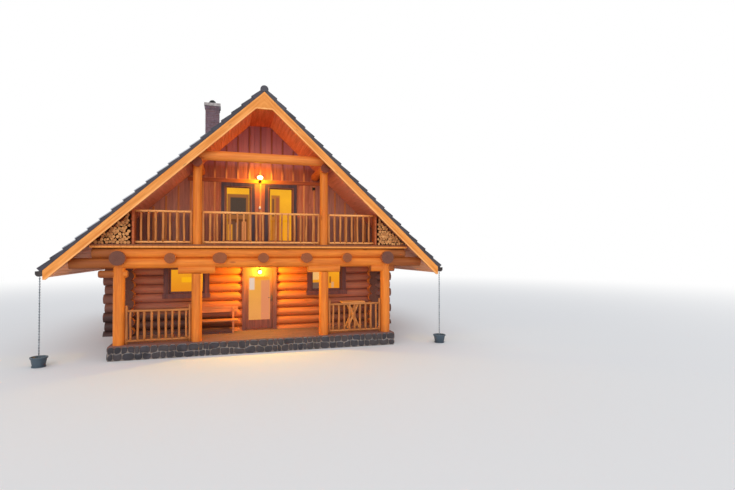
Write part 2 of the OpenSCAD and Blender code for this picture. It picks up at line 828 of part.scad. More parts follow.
// Chimney: a square stack on the roof boards with a corbelled cap, a slab and a small bowed hood.
module chimney() {
  h = stack_w / 2;
  flue = h / 2;
  corbel_h = 95;
  corbels = [18, 34];
  hood_r = 130;
  hood_t = 6;
  hood_w = 300;
  hood_z = stack_top + 30;
  color("rosybrown") translate([-stack_x, post_y + stack_y, 0]) {
    difference() {
      union() {
        block([-h, -h, under(stack_x + h)], [h, h, stack_top]);
        for (k = [0, 1]) block([-h - corbels[k], -h - corbels[k], stack_top - (2 - k) * corbel_h],
          [h + corbels[k], h + corbels[k], stack_top - (1 - k) * corbel_h]);
      }
      block([-flue, -flue, 0], [flue, flue, stack_top + past]);
      translate([0, 0, ridge_z - stack_x * tan_p + fit]) along_y(-stack_w, stack_w) polygon([
        [-stack_w, -ridge_z], [-stack_w, -stack_w * tan_p], [stack_w, stack_w * tan_p], [stack_w, -ridge_z]]);
    }
    difference() {
      log_y(-hood_w / 2, hood_w / 2, 0, hood_z, hood_r);
      log_y(-hood_w / 2 - past, hood_w / 2 + past, 0, hood_z, hood_r - hood_t);
      block([-hood_r - past, -hood_w, hood_z - 2 * hood_r], [hood_r + past, hood_w, hood_z]);
    }
    for (x = [-hood_r, hood_r - hood_t])
      block([x, -hood_w / 2, stack_top - hood_t], [x + hood_t, hood_w / 2, hood_z + past / 2]);
  }
}

// Firewood stacked in the wedge between the balcony ends and the roof.
module firewood() {
  x0 = bay_end + stake_r;
  x1 = slab_x - 90;
  y0 = post_y - 110;
  y1 = post_y + 230;
  tip = 30;
  roof_room = 120;
  r = 50;
  step = 2 * r + 6;
  room = roof_room - 15;
  end_out = 25;
  end_step = 12;
  color("tan") mirrored() {
    along_y(y0, y1) polygon([[x0, deck_z], [x1, deck_z], [x1, deck_z + tip], [x0, under(x0) - roof_room]]);
    for (z = [deck_z + r + 4 : step : under(x0) - roof_room], x = [x0 + r + 4 : step : x1 - r])
      if (z + r < under(x + r) - room)
        log_y(y0 - end_out - (floor(x + z) % 3) * end_step, y0 + 5, x, z, r);
  }
}

// Wall lamps: a rose, an arm and a globe, hanging over the entrance and standing up from the band board.
globe_r = 66;
lamp_arm = 90;
module lamp(z, y, rise) {
  rose = [50, 20];
  rod = 11;
  translate([0, y - fit, z]) {
    rotate([90, 0, 0]) cylinder(r = rose[0], h = rose[1]);
    rotate([90, 0, 0]) cylinder(r = rod, h = lamp_arm + rod);
    translate([0, -lamp_arm, min(0, rise)]) cylinder(r = rod, h = abs(rise));
    translate([0, -lamp_arm, rise]) sphere(r = globe_r, $fn = 32);
  }
}
entrance_lamp = -210;
balcony_lamp = 125;
module lamps() {
  color("khaki") {
    lamp(seam_z + 5, front_y - log_r - casing_t, entrance_lamp);
    lamp(band_z + band_w / 2, front_y - gable_t / 2 - band_t, balcony_lamp);
  }
}

// A plain bench against the front wall, left of the entrance.
bench_x = [-2080, -690];
bench_h = 420;
bench_deep = 430;
bench_back = [630, 810];
module porch_bench() {
  back = front_y - log_r - 12;
  front = back - bench_deep;
  board = 38;
  seat_w = 180;
  back_t = 30;
  leg = 60;
  leg_in = 120;
  leg_front = front + 20;
  color("chocolate") {
    for (y = [front, front + seat_w + 15])
      block([bench_x[0], y, floor_z + bench_h - board], [bench_x[1], y + seat_w, floor_z + bench_h]);
    block([bench_x[0], back - back_t, floor_z + bench_back[0]],
      [bench_x[1], back, floor_z + bench_back[1]]);
    for (x = [bench_x[0] + leg_in, bench_x[1] - leg_in - leg]) {
      block([x, leg_front, floor_z], [x + leg, leg_front + leg, floor_z + bench_h - board + past]);
      block([x, back - back_t - leg, floor_z], [x + leg, back - back_t, floor_z + bench_back[1] - 20]);
      block([x, leg_front, floor_z + bench_h - 110],
        [x + leg, back - back_t - past, floor_z + bench_h - board + past]);
    }
  }
}

// A high narrow table on crossed legs at the right end of the porch.
table_size = [800, 420, 890];
module porch_table() {
  x1 = side_x - log_r - 240;
  x0 = x1 - table_size[0];
  y0 = front_y - log_r - 500;
  y1 = y0 + table_size[1];
  h = table_size[2];
  middle = (x0 + x1) / 2;
  top = 40;
  leg = [56, 50];
  leg_in = 55;
  lean = 24;
  color("chocolate") {
    block([x0, y0, floor_z + h - top], [x1, y1, floor_z + h]);
    for (y = [y0 + leg_in, y1 - leg_in], s = [-1, 1]) intersection() {
      translate([middle, y, floor_z + h / 2]) rotate([0, s * lean, 0])
        cube([leg[0], leg[1], 2 * h], center = true);
      block([x0, y - leg[1] / 2, floor_z], [x1, y + leg[1] / 2, floor_z + h - top + past]);
    }
    block([middle - leg[1] / 2, y0 + leg_in, floor_z + h / 2 - leg[1] / 2],
      [middle + leg[1] / 2, y1 - leg_in, floor_z + h / 2 + leg[1] / 2]);
  }
}

stone_plinth();
porch_floor();
ground_floor();
front_wall_left();
front_wall_right();
front_wall_head();
left_wall();
right_wall();
back_wall();
door_frame();
entrance_door();
door_glass();
door_ironwork();
window_frames();
window_glass();
log_posts();
post_bolsters();
front_beam_lower();
front_beam_upper();
floor_joists();
upper_floor();
tie_beam();
roof_purlins();
ridge_beam();
gable_wall_front();
gable_wall_back();
balcony_doors();
balcony_door_glass();
balcony_railing_left();
balcony_railing_middle();
balcony_railing_right();
porch_railing_left();
porch_railing_right();
roof_deck();
roof_tiles();
ridge_cap();
barge_boards();
gutters();
rain_chains();
rain_tubs();
chimney();
firewood();
lamps();
porch_bench();
porch_table();
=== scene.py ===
import bpy
import math
import random
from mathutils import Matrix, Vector


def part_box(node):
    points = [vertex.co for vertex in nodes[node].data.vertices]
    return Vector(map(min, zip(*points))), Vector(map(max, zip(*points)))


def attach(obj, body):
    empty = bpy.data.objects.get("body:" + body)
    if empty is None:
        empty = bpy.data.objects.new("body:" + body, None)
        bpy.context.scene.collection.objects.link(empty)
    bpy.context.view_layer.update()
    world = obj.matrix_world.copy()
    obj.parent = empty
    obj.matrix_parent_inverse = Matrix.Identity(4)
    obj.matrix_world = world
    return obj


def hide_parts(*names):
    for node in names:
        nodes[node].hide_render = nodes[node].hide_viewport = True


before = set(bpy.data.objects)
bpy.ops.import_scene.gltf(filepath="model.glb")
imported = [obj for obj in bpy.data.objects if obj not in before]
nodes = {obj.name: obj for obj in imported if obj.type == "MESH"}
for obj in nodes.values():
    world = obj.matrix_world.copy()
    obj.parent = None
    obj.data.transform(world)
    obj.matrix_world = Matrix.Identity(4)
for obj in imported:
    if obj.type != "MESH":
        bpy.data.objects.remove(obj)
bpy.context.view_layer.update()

scene = bpy.context.scene
print("chalet: frame loaded,", len(nodes), "nodes")

# Lines of the house, in metres. What the CAD says is read back from its nodes.
house = {
    "sideX": 3.9, "innerX": 1.87, "postY": -5.51, "frontY": -3.89, "backY": 5.51,
    "floorZ": 0.4, "course": 0.283, "pitch": math.radians(43), "deckT": 0.15, "joistStep": 1.285,
    "purlinDrop": 0.1403, "bolsterDrop": 0.195, "gableOut": 0.06,
}
sideX, innerX, postY, frontY, backY = (house[key] for key in ("sideX", "innerX", "postY", "frontY", "backY"))
floorZ, course, deckT, joistStep = (house[key] for key in ("floorZ", "course", "deckT", "joistStep"))
sinP, cosP, tanP = math.sin(house["pitch"]), math.cos(house["pitch"]), math.tan(house["pitch"])
deckLow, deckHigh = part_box("roof_deck")
ridgeZ, eaveX, roofY0, roofY1 = deckHigh.z, deckHigh.x, deckLow.y, deckHigh.y
underRidge = ridgeZ - deckT / cosP
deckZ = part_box("upper_floor")[1].z
gableFront, gableBack = frontY - house["gableOut"], backY + house["gableOut"]
squareTurn = ((-1, -1), (1, -1), (1, 1), (-1, 1))


def underRoof(x):
    return underRidge - abs(x) * tanP


joistZ = floorZ + 8.5 * course
bolsterZ = floorZ + 8 * course - house["bolsterDrop"]
purlinZ = underRoof(innerX) - house["purlinDrop"] / cosP


def onSlope(side, s, o, y):  # s down the slope from the ridge, o square to the deck's upper face
    return Vector((side * (s * cosP + o * sinP), y, ridgeZ - s * sinP + o * cosP))


def slopeQuad(side, s0, s1, o0, o1, y0, y1):
    return [onSlope(side, s, o, y) for s, o, y in ((s0, o0, y0), (s1, o1, y0), (s1, o1, y1), (s0, o0, y1))]


# Camera, light and stage.
cameraLook = {"place": (-0.9694, -19.7271, 2.9591), "yaw": 16.744, "pitch": 0.957, "lens": 22.475}
cameraData = bpy.data.cameras.new("camera")
cameraData.lens = cameraLook["lens"]
cameraData.sensor_width = 36
cameraData.clip_end = 500
camera = bpy.data.objects.new("camera", cameraData)
camera.location = cameraLook["place"]
camera.rotation_euler = (math.radians(90 + cameraLook["pitch"]), 0, -math.radians(cameraLook["yaw"]))
scene.collection.objects.link(camera)
scene.camera = camera
scene.view_settings.view_transform = "Standard"

lightLook = {
    "worldLevel": 0.72, "worldTint": (0.96, 0.97, 1.0),
    "sunLevel": 1.45, "sunSoftness": 60, "sunTilt": (72, 0, -12),
    "entrancePower": 190, "entranceTint": (1.0, 0.74, 0.03),
    "balconyPower": 52, "balconyTint": (1.0, 0.52, 0.02), "lampSoftness": 0.06,
    "roomPower": 14, "roomTint": (1.0, 0.72, 0.38), "roomSoftness": 0.3,
    "roomPlaces": ((0, 0.5, 2.45), (0, -1.5, 5.2)),
}


# Adds a node, in the tree of the sockets that are linked to it unless a tree is given.
def newNode(kind, sockets, tree=None, **settings):
    linked = [value for value in sockets.values() if isinstance(value, bpy.types.NodeSocket)]
    node = (tree or linked[0].id_data).nodes.new(kind)
    for key, value in settings.items():
        setattr(node, key, value)
    wire(node.inputs, sockets)
    return node


def wire(inputs, sockets):  # links each socket, and writes each plain value
    for key, value in sockets.items():
        if isinstance(value, bpy.types.NodeSocket):
            value.id_data.links.new(value, inputs[key])
        else:
            inputs[key].default_value = value


def calc(operation, *values):
    return newNode("ShaderNodeMath", dict(enumerate(values)), operation=operation).outputs[0]


def times(a, b):
    return calc("MULTIPLY", a, b)


def plus(a, b):
    return calc("ADD", a, b)


def minus(a, b):
    return calc("SUBTRACT", a, b)


def unsigned(a):
    return calc("ABSOLUTE", a)


def stretch(vector, factors):
    return newNode("ShaderNodeVectorMath", {0: vector, 1: factors}, operation="MULTIPLY").outputs[0]


def shift(vector, amount):
    return newNode("ShaderNodeVectorMath", {0: vector, 1: amount}, operation="ADD").outputs[0]


def split(vector):
    return newNode("ShaderNodeSeparateXYZ", {0: vector}).outputs


def join(x, y, z):
    return newNode("ShaderNodeCombineXYZ", {0: x, 1: y, 2: z}).outputs[0]


def noise(vector, scale, detail, roughness=0.5, out="Fac"):
    sockets = {"Vector": vector, "Scale": scale, "Detail": detail, "Roughness": roughness}
    return newNode("ShaderNodeTexNoise", sockets).outputs[out]


def roll(number):  # one random value for each whole number
    return newNode("ShaderNodeTexWhiteNoise", {"W": number}, noise_dimensions="1D").outputs["Value"]


def blendColor(factor, a, b):
    return newNode("ShaderNodeMix", {0: factor, 6: a, 7: b}, data_type="RGBA").outputs[2]


def smoothStep(value, low, high, outLow=0.0, outHigh=1.0):
    sockets = {"Value": value, "From Min": low, "From Max": high, "To Min": outLow, "To Max": outHigh}
    return newNode("ShaderNodeMapRange", sockets, interpolation_type="SMOOTHSTEP").outputs["Result"]


def tone(hexText, strength=1.0):  # a colour as a painter would name it, turned to linear light
    parts = [int(hexText[i:i + 2], 16) / 255 for i in (0, 2, 4)]
    linear = [c / 12.92 if c <= 0.04045 else ((c + 0.055) / 1.055) ** 2.4 for c in parts]
    return tuple(c * strength for c in linear) + (1.0,)


def tint(color, shade, mask, amount):  # lays a shade over a colour, as far as the mask says
    return blendColor(times(mask, amount), color, tone(shade))


def mixShaders(factor, first, second):
    return newNode("ShaderNodeMixShader", {0: factor, 1: first.outputs[0], 2: second.outputs[0]}).outputs[0]


def clearTree(owner):
    owner.use_nodes = True
    owner.node_tree.nodes.clear()
    return owner.node_tree


world = bpy.data.worlds.new("studio")
scene.world = world
tree = clearTree(world)
path = newNode("ShaderNodeLightPath", {}, tree).outputs
mirrored = calc("MAXIMUM", path["Is Glossy Ray"], path["Is Transmission Ray"])
seen = calc("MAXIMUM", path["Is Camera Ray"], mirrored)
worldColor = lightLook["worldTint"] + (1,)
soft = newNode("ShaderNodeBackground", {"Color": worldColor, "Strength": lightLook["worldLevel"]}, tree)
plain = newNode("ShaderNodeBackground", {"Color": (1, 1, 1, 1), "Strength": 1.0}, tree)
newNode("ShaderNodeOutputWorld", {"Surface": mixShaders(seen, soft, plain)})

sunData = bpy.data.lights.new("sun", "SUN")
sunData.energy = lightLook["sunLevel"]
sunData.angle = math.radians(lightLook["sunSoftness"])
sun = bpy.data.objects.new("sun", sunData)
sun.rotation_euler = [math.radians(a) for a in lightLook["sunTilt"]]
scene.collection.objects.link(sun)


def pointLight(name, place, power, color, softness):
    lampData = bpy.data.lights.new(name, "POINT")
    lampData.energy = power
    lampData.color = color
    lampData.shadow_soft_size = softness
    lamp = bpy.data.objects.new(name, lampData)
    lamp.location = place
    scene.collection.objects.link(lamp)


floorLook = {"half": 160, "drop": 0.001, "color": (0.84, 0.85, 0.86, 1), "fadeFrom": 12, "fadeTo": 45}
floorMesh = bpy.data.meshes.new("studio_floor")
half = floorLook["half"]
floorMesh.from_pydata([(half * a, half * b, -floorLook["drop"]) for a, b in squareTurn], [], [(0, 1, 2, 3)])
studioFloor = bpy.data.objects.new("studio_floor", floorMesh)
scene.collection.objects.link(studioFloor)
floorPaint = bpy.data.materials.new("floor_paint")
tree = clearTree(floorPaint)
coords = newNode("ShaderNodeTexCoord", {}, tree).outputs["Object"]
away = newNode("ShaderNodeVectorMath", {0: coords}, operation="LENGTH").outputs["Value"]
path = newNode("ShaderNodeLightPath", {}, tree).outputs
fade = times(smoothStep(away, floorLook["fadeFrom"], floorLook["fadeTo"]), path["Is Camera Ray"])
matt = newNode("ShaderNodeBsdfDiffuse", {"Color": floorLook["color"]}, tree)
bright = newNode("ShaderNodeEmission", {"Color": (1, 1, 1, 1), "Strength": 1.0}, tree)
newNode("ShaderNodeOutputMaterial", {"Surface": mixShaders(fade, matt, bright)})
floorMesh.materials.append(floorPaint)
print("chalet: camera, light and stage")


# Shared effects, each a node group that is built once. An input without a value is a vector.
def newGroup(name, inputs, outputs):
    group = bpy.data.node_groups.new(name, "ShaderNodeTree")
    for label, value in inputs.items():
        kind = "NodeSocketVector" if value is None else "NodeSocketFloat"
        socket = group.interface.new_socket(name=label, in_out="INPUT", socket_type=kind)
        if value is not None:
            socket.default_value = value
    for label in outputs:
        group.interface.new_socket(name=label, in_out="OUTPUT", socket_type="NodeSocketFloat")
    start = group.nodes.new("NodeGroupInput")
    end = group.nodes.new("NodeGroupOutput")
    return group, start.outputs, lambda label, socket: group.links.new(socket, end.inputs[label])


# Grain that runs along the vector's X: fibre, broad streaks and knots.
woodGrain, take, give = newGroup("wood_grain",
    {"Vector": None, "Seed": 0.0, "Scale": 1.0, "Knots": 0.5}, ["Grain", "Knot", "Height"])
offset = join(times(take["Seed"], 7.31), times(take["Seed"], 3.17), take["Seed"])
moved = shift(take["Vector"], offset)
sized = newNode("ShaderNodeVectorMath", {0: moved, "Scale": take["Scale"]}, operation="SCALE").outputs[0]
bend = noise(stretch(sized, (0.5, 1.5, 1.5)), 1.3, 2.0, out="Color")
bent = shift(sized, stretch(bend, (0.0, 0.10, 0.10)))
fibre = noise(stretch(bent, (0.9, 26, 26)), 2.2, 5.0, roughness=0.6)
streak = noise(stretch(bent, (0.45, 7, 7)), 1.6, 3.0)
knotCells = newNode("ShaderNodeTexVoronoi",
    {"Vector": stretch(bent, (0.55, 1.6, 1.6)), "Scale": 1.9, "Randomness": 1.0}).outputs["Distance"]
knot = times(smoothStep(knotCells, 0.05, 0.13, 1.0, 0.0), take["Knots"])
grain = plus(times(fibre, 0.45), times(streak, 0.55))
give("Grain", smoothStep(grain, 0.32, 0.68))
give("Knot", knot)
give("Height", plus(grain, times(knot, -0.5)))

# Growth rings and drying checks on a sawn end. Across and Up are measured from the log's centre.
endRings, take, give = newGroup("end_rings", {"Across": 0.0, "Up": 0.0, "Seed": 0.0}, ["Ring", "Check"])
wobble = noise(join(take["Across"], take["Up"], take["Seed"]), 9.0, 2.0)
squares = plus(times(take["Across"], take["Across"]), times(take["Up"], take["Up"]))
radius = calc("SQRT", squares)
wavy = calc("SINE", times(plus(radius, times(wobble, 0.022)), 480.0))
give("Ring", plus(times(wavy, 0.5), 0.5))
angle = calc("ARCTAN2", take["Up"], take["Across"])
turned = plus(times(angle, 2.5), plus(times(wobble, 1.6), take["Seed"]))
ray = smoothStep(unsigned(calc("SINE", turned)), 0.03, 0.10, 1.0, 0.0)
give("Check", times(ray, smoothStep(radius, 0.015, 0.12, 1.0, 0.0)))

# One shade for each board along a coordinate, and the joint between two.
boardRows, take, give = newGroup("board_rows", {"Place": 0.0, "Width": 0.15, "Joint": 0.03}, ["Shade", "Gap"])
turns = calc("DIVIDE", take["Place"], take["Width"])
give("Shade", roll(calc("FLOOR", turns)))
edge = unsigned(minus(calc("FRACT", turns), 0.5))
give("Gap", smoothStep(minus(0.5, edge), 0.0, take["Joint"], 1.0, 0.0))

# Cloudy shade with fine grit, for stone, brick, tile, mortar and glaze.
mottle, take, give = newGroup("mottle", {"Vector": None, "Scale": 4.0, "Grit": 60.0},
    ["Cloud", "Grit", "Height"])
cloud = noise(take["Vector"], take["Scale"], 4.0)
grit = noise(take["Vector"], take["Grit"], 3.0)
give("Cloud", smoothStep(cloud, 0.33, 0.67))
give("Grit", smoothStep(grit, 0.35, 0.65))
give("Height", plus(times(cloud, 0.6), times(grit, 0.4)))

# Grime that gathers low down and in drifts.
grime, take, give = newGroup("grime", {"Vector": None, "Height": 0.0, "Reach": 0.8}, ["Dirt"])
drift = noise(take["Vector"], 1.4, 5.0)
low = smoothStep(calc("DIVIDE", take["Height"], take["Reach"]), 0.0, 1.0, 1.0, 0.0)
give("Dirt", times(smoothStep(drift, 0.35, 0.7), plus(times(low, 0.7), 0.3)))

# A soft-edged rectangle, for what stands in a lit room behind a pane.
boxMask, take, give = newGroup("box_mask",
    {"Across": 0.0, "Up": 0.0, "Left": 0.0, "Right": 1.0, "Low": 0.0, "High": 1.0, "Soft": 0.01}, ["Mask"])
sides = (("Across", "Left"), ("Right", "Across"), ("Up", "Low"), ("High", "Up"))
inside = [smoothStep(minus(take[a], take[b]), 0.0, take["Soft"]) for a, b in sides]
give("Mask", times(times(inside[0], inside[1]), times(inside[2], inside[3])))

# Which log of a row a point lies on, and how far from that log's middle.
logCell, take, give = newGroup("log_cell", {"Place": 0.0, "Centre": 0.0, "Spacing": 1.0}, ["Number", "Local"])
raised = plus(minus(take["Place"], take["Centre"]), calc("DIVIDE", take["Spacing"], 2.0))
turns = calc("DIVIDE", raised, take["Spacing"])
give("Number", calc("FLOOR", turns))
give("Local", times(minus(calc("FRACT", turns), 0.5), take["Spacing"]))

# Both roof slopes folded together: out from the middle, down the slope and square to it.
slopeLines, take, give = newGroup("slope_lines", {"Vector": None, "Ridge": 0.0}, ["Away", "Down", "Square"])
parts = split(take["Vector"])
away, rise = unsigned(parts[0]), minus(parts[2], take["Ridge"])
give("Away", away)
give("Down", minus(times(away, cosP), times(rise, sinP)))
give("Square", plus(times(away, sinP), times(rise, cosP)))

# Faces that look along an axis, from that part of their normal.
facing, take, give = newGroup("facing", {"Part": 0.0, "From": 0.6, "To": 0.8}, ["Mask"])
give("Mask", smoothStep(unsigned(take["Part"]), take["From"], take["To"]))

# Rime on faces that look up, broken by the cloudy shade.
rimeTop, take, give = newGroup("rime_top", {"Up": 0.0, "Cloud": 0.5}, ["Rime"])
broken = smoothStep(take["Cloud"], 0.1, 0.8, 0.5, 1.0)
give("Rime", times(smoothStep(take["Up"], 0.55, 0.7), broken))


def useGroup(group, **sockets):
    return newNode("ShaderNodeGroup", sockets, node_tree=group).outputs


def newPaint(name, roughness, **plainValues):
    paint = bpy.data.materials.new(name)
    tree = clearTree(paint)
    shader = newNode("ShaderNodeBsdfPrincipled", dict({"Roughness": roughness}, **plainValues), tree)
    newNode("ShaderNodeOutputMaterial", {"Surface": shader.outputs[0]})
    return paint, shader.inputs, newNode("ShaderNodeTexCoord", {}, tree).outputs


def finishPaint(slots, color, roughness, height, distance):
    bump = newNode("ShaderNodeBump", {"Height": height, "Distance": distance, "Strength": 1.0})
    wire(slots, {"Base Color": color, "Roughness": roughness, "Normal": bump.outputs[0]})


woodLook = {
    "logLight": "f49030", "logDark": "cc681e", "logKnot": "7a3414",
    # seam: painted shade between the logs.
    "logEnd": "a8613c", "logEndDark": "7a4229", "seam": "4a2014", "seamAt": (0.122, 0.1415),
    "check": "2a140c", "logGrime": "6a3f2a", "boardKnot": "2c120a", "boardGap": "140806",
    "boardGrime": "4b4038",
    "roughness": 0.58, "shine": 0.3, "logBump": 0.012,
}


# A round-log finish. across: (axis, centre, spacing) for the two directions square to the logs.
# paintedLightAndWear: (from, to, colour, amount) along the logs, alike on both sides of the middle; painted
# lamp light, painted shade and darker ends.
# shadows: painted shadows as (from, to, full height, height of no effect, colour, amount), on one side of the
# middle.
def logPaint(name, along, across, seams=False, seed=0.0, folded=False, light=None, dark=None, end=None,
        endDark=None, paintedLightAndWear=(), shadows=()):
    shine = {"Specular IOR Level": woodLook["shine"]}
    paint, slots, coords = newPaint(name, woodLook["roughness"], **shine)
    parts, normals = split(coords["Object"]), split(coords["Normal"])
    light, dark = light or woodLook["logLight"], dark or woodLook["logDark"]
    end, endDark = end or woodLook["logEnd"], endDark or woodLook["logEndDark"]
    local, numbers = [], []
    for axis, centre, spacing in across:
        place = unsigned(parts[axis]) if folded and axis != 2 else parts[axis]
        cell = useGroup(logCell, Place=place, Centre=centre, Spacing=spacing)
        numbers.append(cell["Number"])
        local.append(cell["Local"])
    rolled = roll(plus(numbers[0], plus(times(numbers[1], 5.3), seed)))
    vector = join(parts[along], local[0], local[1])
    wood = useGroup(woodGrain, Vector=vector, Seed=times(rolled, 9.0), Scale=1.0, Knots=0.8)
    side = blendColor(wood["Grain"], tone(dark), tone(light))
    side = tint(side, woodLook["logKnot"], wood["Knot"], 0.75)
    side = tint(side, dark, rolled, 0.35)
    # painted shade in the seams, where two logs meet
    if seams:
        seam = smoothStep(unsigned(local[1]), *woodLook["seamAt"])
        side = tint(side, woodLook["seam"], seam, 0.7)
    # painted lamp light and painted shade along the logs, and darker ends
    for near, far, shade, most in paintedLightAndWear:
        fadeShare = smoothStep(unsigned(parts[along]), near, far, 0.0, most)
        side = blendColor(fadeShare, side, tone(shade))
    # painted shadows, on one side of the middle and low down
    for near, far, low, high, shade, most in shadows:
        shadowShare = smoothStep(parts[along], near, far, 0.0, most)
        side = tint(side, shade, shadowShare, smoothStep(parts[2], low, high, 1.0, 0.0))
    rings = useGroup(endRings, Across=local[0], Up=local[1], Seed=times(rolled, 6.0))
    sawn = blendColor(rings["Ring"], tone(endDark), tone(end))
    sawn = blendColor(rings["Check"], sawn, tone(woodLook["check"]))
    isEnd = useGroup(facing, Part=normals[along], From=0.6, To=0.8)["Mask"]
    grey = useGroup(grime, Vector=coords["Object"], Height=parts[2], Reach=0.9)
    color = tint(blendColor(isEnd, side, sawn), woodLook["logGrime"], grey["Dirt"], 0.35)
    rough = plus(times(wood["Grain"], -0.12), woodLook["roughness"] + 0.08)
    rough = plus(rough, times(isEnd, 0.25))
    height = plus(times(wood["Height"], minus(1.0, isEnd)), times(rings["Check"], times(isEnd, -0.8)))
    finishPaint(slots, color, rough, height, woodLook["logBump"])
    return paint


# A sawn-board finish. Grain runs along one axis, and boards may differ across another.
# paintedLightFades: painted light and shade as (way, from, to, colour, amount), where the way is out from the
# middle or up.
# edge: painted shade on upright faces, over edgeTop (height, colour) where that is given, with that colour
# below the height.
# inner: a paler frame inside a dark casing (centre, half width, top, shade).
def boardPaint(name, light, dark, along, width=0.0, acrossAxis=0, roughness=0.6, gap=0.0, knots=0.35,
        scale=1.4, shadeRange=0.45, bump=0.004, coat=0.0, dirt=0.25, sloped=False, edge=None, edgeTop=None,
        inner=None, paintedLightFades=()):
    paint, slots, coords = newPaint(name, roughness, **{"Coat Weight": coat, "Coat Roughness": 0.4,
        "Specular IOR Level": woodLook["shine"]})
    parts = split(coords["Object"])
    sideways, upright = unsigned(parts[0]), parts[2]
    if sloped:  # grain that runs down both slopes of the roof
        lines = useGroup(slopeLines, Vector=coords["Object"])
        parts = [lines["Down"], parts[1], lines["Square"]]
    others = [axis for axis in (0, 1, 2) if axis != along]
    vector = join(parts[along], parts[others[0]], parts[others[1]])
    seed = 0.0
    if width:
        rows = useGroup(boardRows, Place=parts[acrossAxis], Width=width, Joint=0.035)
        seed = times(rows["Shade"], 11.0)
    wood = useGroup(woodGrain, Vector=vector, Seed=seed, Scale=scale, Knots=knots)
    color = blendColor(wood["Grain"], tone(dark), tone(light))
    if width:
        color = tint(color, dark, rows["Shade"], shadeRange)
    color = tint(color, woodLook["boardKnot"], wood["Knot"], 0.7)
    height = wood["Height"]
    if width and gap:
        color = tint(color, woodLook["boardGap"], rows["Gap"], gap)
        height = minus(height, times(rows["Gap"], 1.5))
    # painted light and shade, fading out from the middle or up
    for way, start, end, shade, most in paintedLightFades:
        further = smoothStep({"out": sideways, "up": upright}[way], start, end, 0.0, most)
        color = blendColor(further, color, tone(shade))
    # painted shade on upright faces, with a lower band in the edgeTop colour
    if edge:
        normals = split(coords["Normal"])
        level = useGroup(facing, Part=normals[2], From=0.4, To=0.6)["Mask"]
        face = tone(edge)
        if edgeTop:
            above = smoothStep(upright, edgeTop[0] - 0.004, edgeTop[0] + 0.004)
            face = blendColor(above, tone(edgeTop[1]), face)
        color = blendColor(times(minus(1.0, level), 0.85), color, face)
    if inner:
        centre, half, top, shade = inner
        away = unsigned(minus(sideways, centre))
        mask = useGroup(boxMask, Across=away, Up=upright, Left=-1.0, Right=half, Low=0.0, High=top)
        frameTone = blendColor(wood["Grain"], tone(shade, 0.6), tone(shade))
        color = blendColor(mask["Mask"], color, frameTone)
    grey = useGroup(grime, Vector=coords["Object"], Height=upright, Reach=1.0)
    color = tint(color, woodLook["boardGrime"], grey["Dirt"], dirt)
    rough = plus(times(wood["Grain"], -0.15), roughness + 0.08)
    finishPaint(slots, color, rough, height, bump)
    return paint


tileLook = {
    "rows": 20, "overhang": 0.045, "roll": 0.30, "steps": 7, "low": 0.080, "high": 0.117, "nose": 0.010,
    "wave": 0.013, "lap": 0.02, "foot": 0.004, "noseDeep": 0.012, "inside": 0.012, "ridgeGap": 0.002,
    "verge": 0.03, "vergeWide": 0.13, "vergeTop": (0.100, 0.140), "vergeJoint": 0.006, "vergeLap": 0.004,
    "vergeFoot": 0.003, "rimeX": (1.5, 5.0), "rimeDeep": 0.020,
}
tileRun = (eaveX + tileLook["overhang"]) / cosP / tileLook["rows"]


# Rime on the front verge, mostly along its upper edge, which rises down each tile.
def vergeRime(coords, level):
    lines = useGroup(slopeLines, Vector=coords["Object"], Ridge=ridgeZ)
    low, high = tileLook["vergeTop"]
    start, end = tileLook["rimeX"]
    deep = tileLook["rimeDeep"]
    along = calc("FRACT", calc("DIVIDE", lines["Down"], tileRun))
    top = plus(times(along, high - low), low)
    under = smoothStep(minus(top, lines["Square"]), deep, deep + 0.008, 1.0, 0.0)
    front = smoothStep(split(coords["Object"])[1], roofY0 + 0.01, roofY0 + 0.06, 1.0, 0.0)
    between = minus(smoothStep(lines["Away"], start, start + 0.5), smoothStep(lines["Away"], end, end + 0.3))
    rime = calc("MAXIMUM", times(level, 0.3), under)
    return times(rime, times(front, between))


# Stone, brick, tile and the like. A random shade per loose piece comes from its own island.
def mineralPaint(name, light, dark, roughness, scale, grit, bump, perPiece=0.0, extra=None, dirt=0.3,
        frost=0.0, rimed=False, bark=None):
    paint, slots, coords = newPaint(name, roughness)
    parts, normals = split(coords["Object"]), split(coords["Normal"])
    spots = useGroup(mottle, Vector=coords["Object"], Scale=scale, Grit=grit)
    color = tint(blendColor(spots["Cloud"], tone(dark), tone(light)), light, spots["Grit"], 0.25)
    island = newNode("ShaderNodeNewGeometry", {}, paint.node_tree).outputs["Random Per Island"]
    color = tint(color, extra or dark, island, perPiece)
    grey = useGroup(grime, Vector=coords["Object"], Height=parts[2], Reach=0.5)
    color = tint(color, "3a332e", grey["Dirt"], dirt)
    if frost:
        rime = useGroup(rimeTop, Up=normals[2], Cloud=spots["Cloud"])["Rime"]
        if rimed:
            rime = vergeRime(coords, rime)
        color = tint(color, "dfe4ec", rime, frost)
    if bark:  # on the sides of short logs
        flank = minus(1.0, useGroup(facing, Part=normals[1], From=0.4, To=0.7)["Mask"])
        color = blendColor(flank, color, tone(bark))
    rough = plus(times(spots["Grit"], 0.12), roughness - 0.08)
    finishPaint(slots, color, rough, spots["Height"], bump)
    return paint


def metalPaint(name, light, dark, roughness, metallic):
    paint, slots, coords = newPaint(name, roughness, Metallic=metallic)
    spots = useGroup(mottle, Vector=coords["Object"], Scale=6.0, Grit=90.0)
    color = blendColor(spots["Cloud"], tone(dark), tone(light))
    rough = plus(times(spots["Grit"], 0.2), roughness - 0.1)
    finishPaint(slots, color, rough, spots["Height"], 0.0008)
    return paint
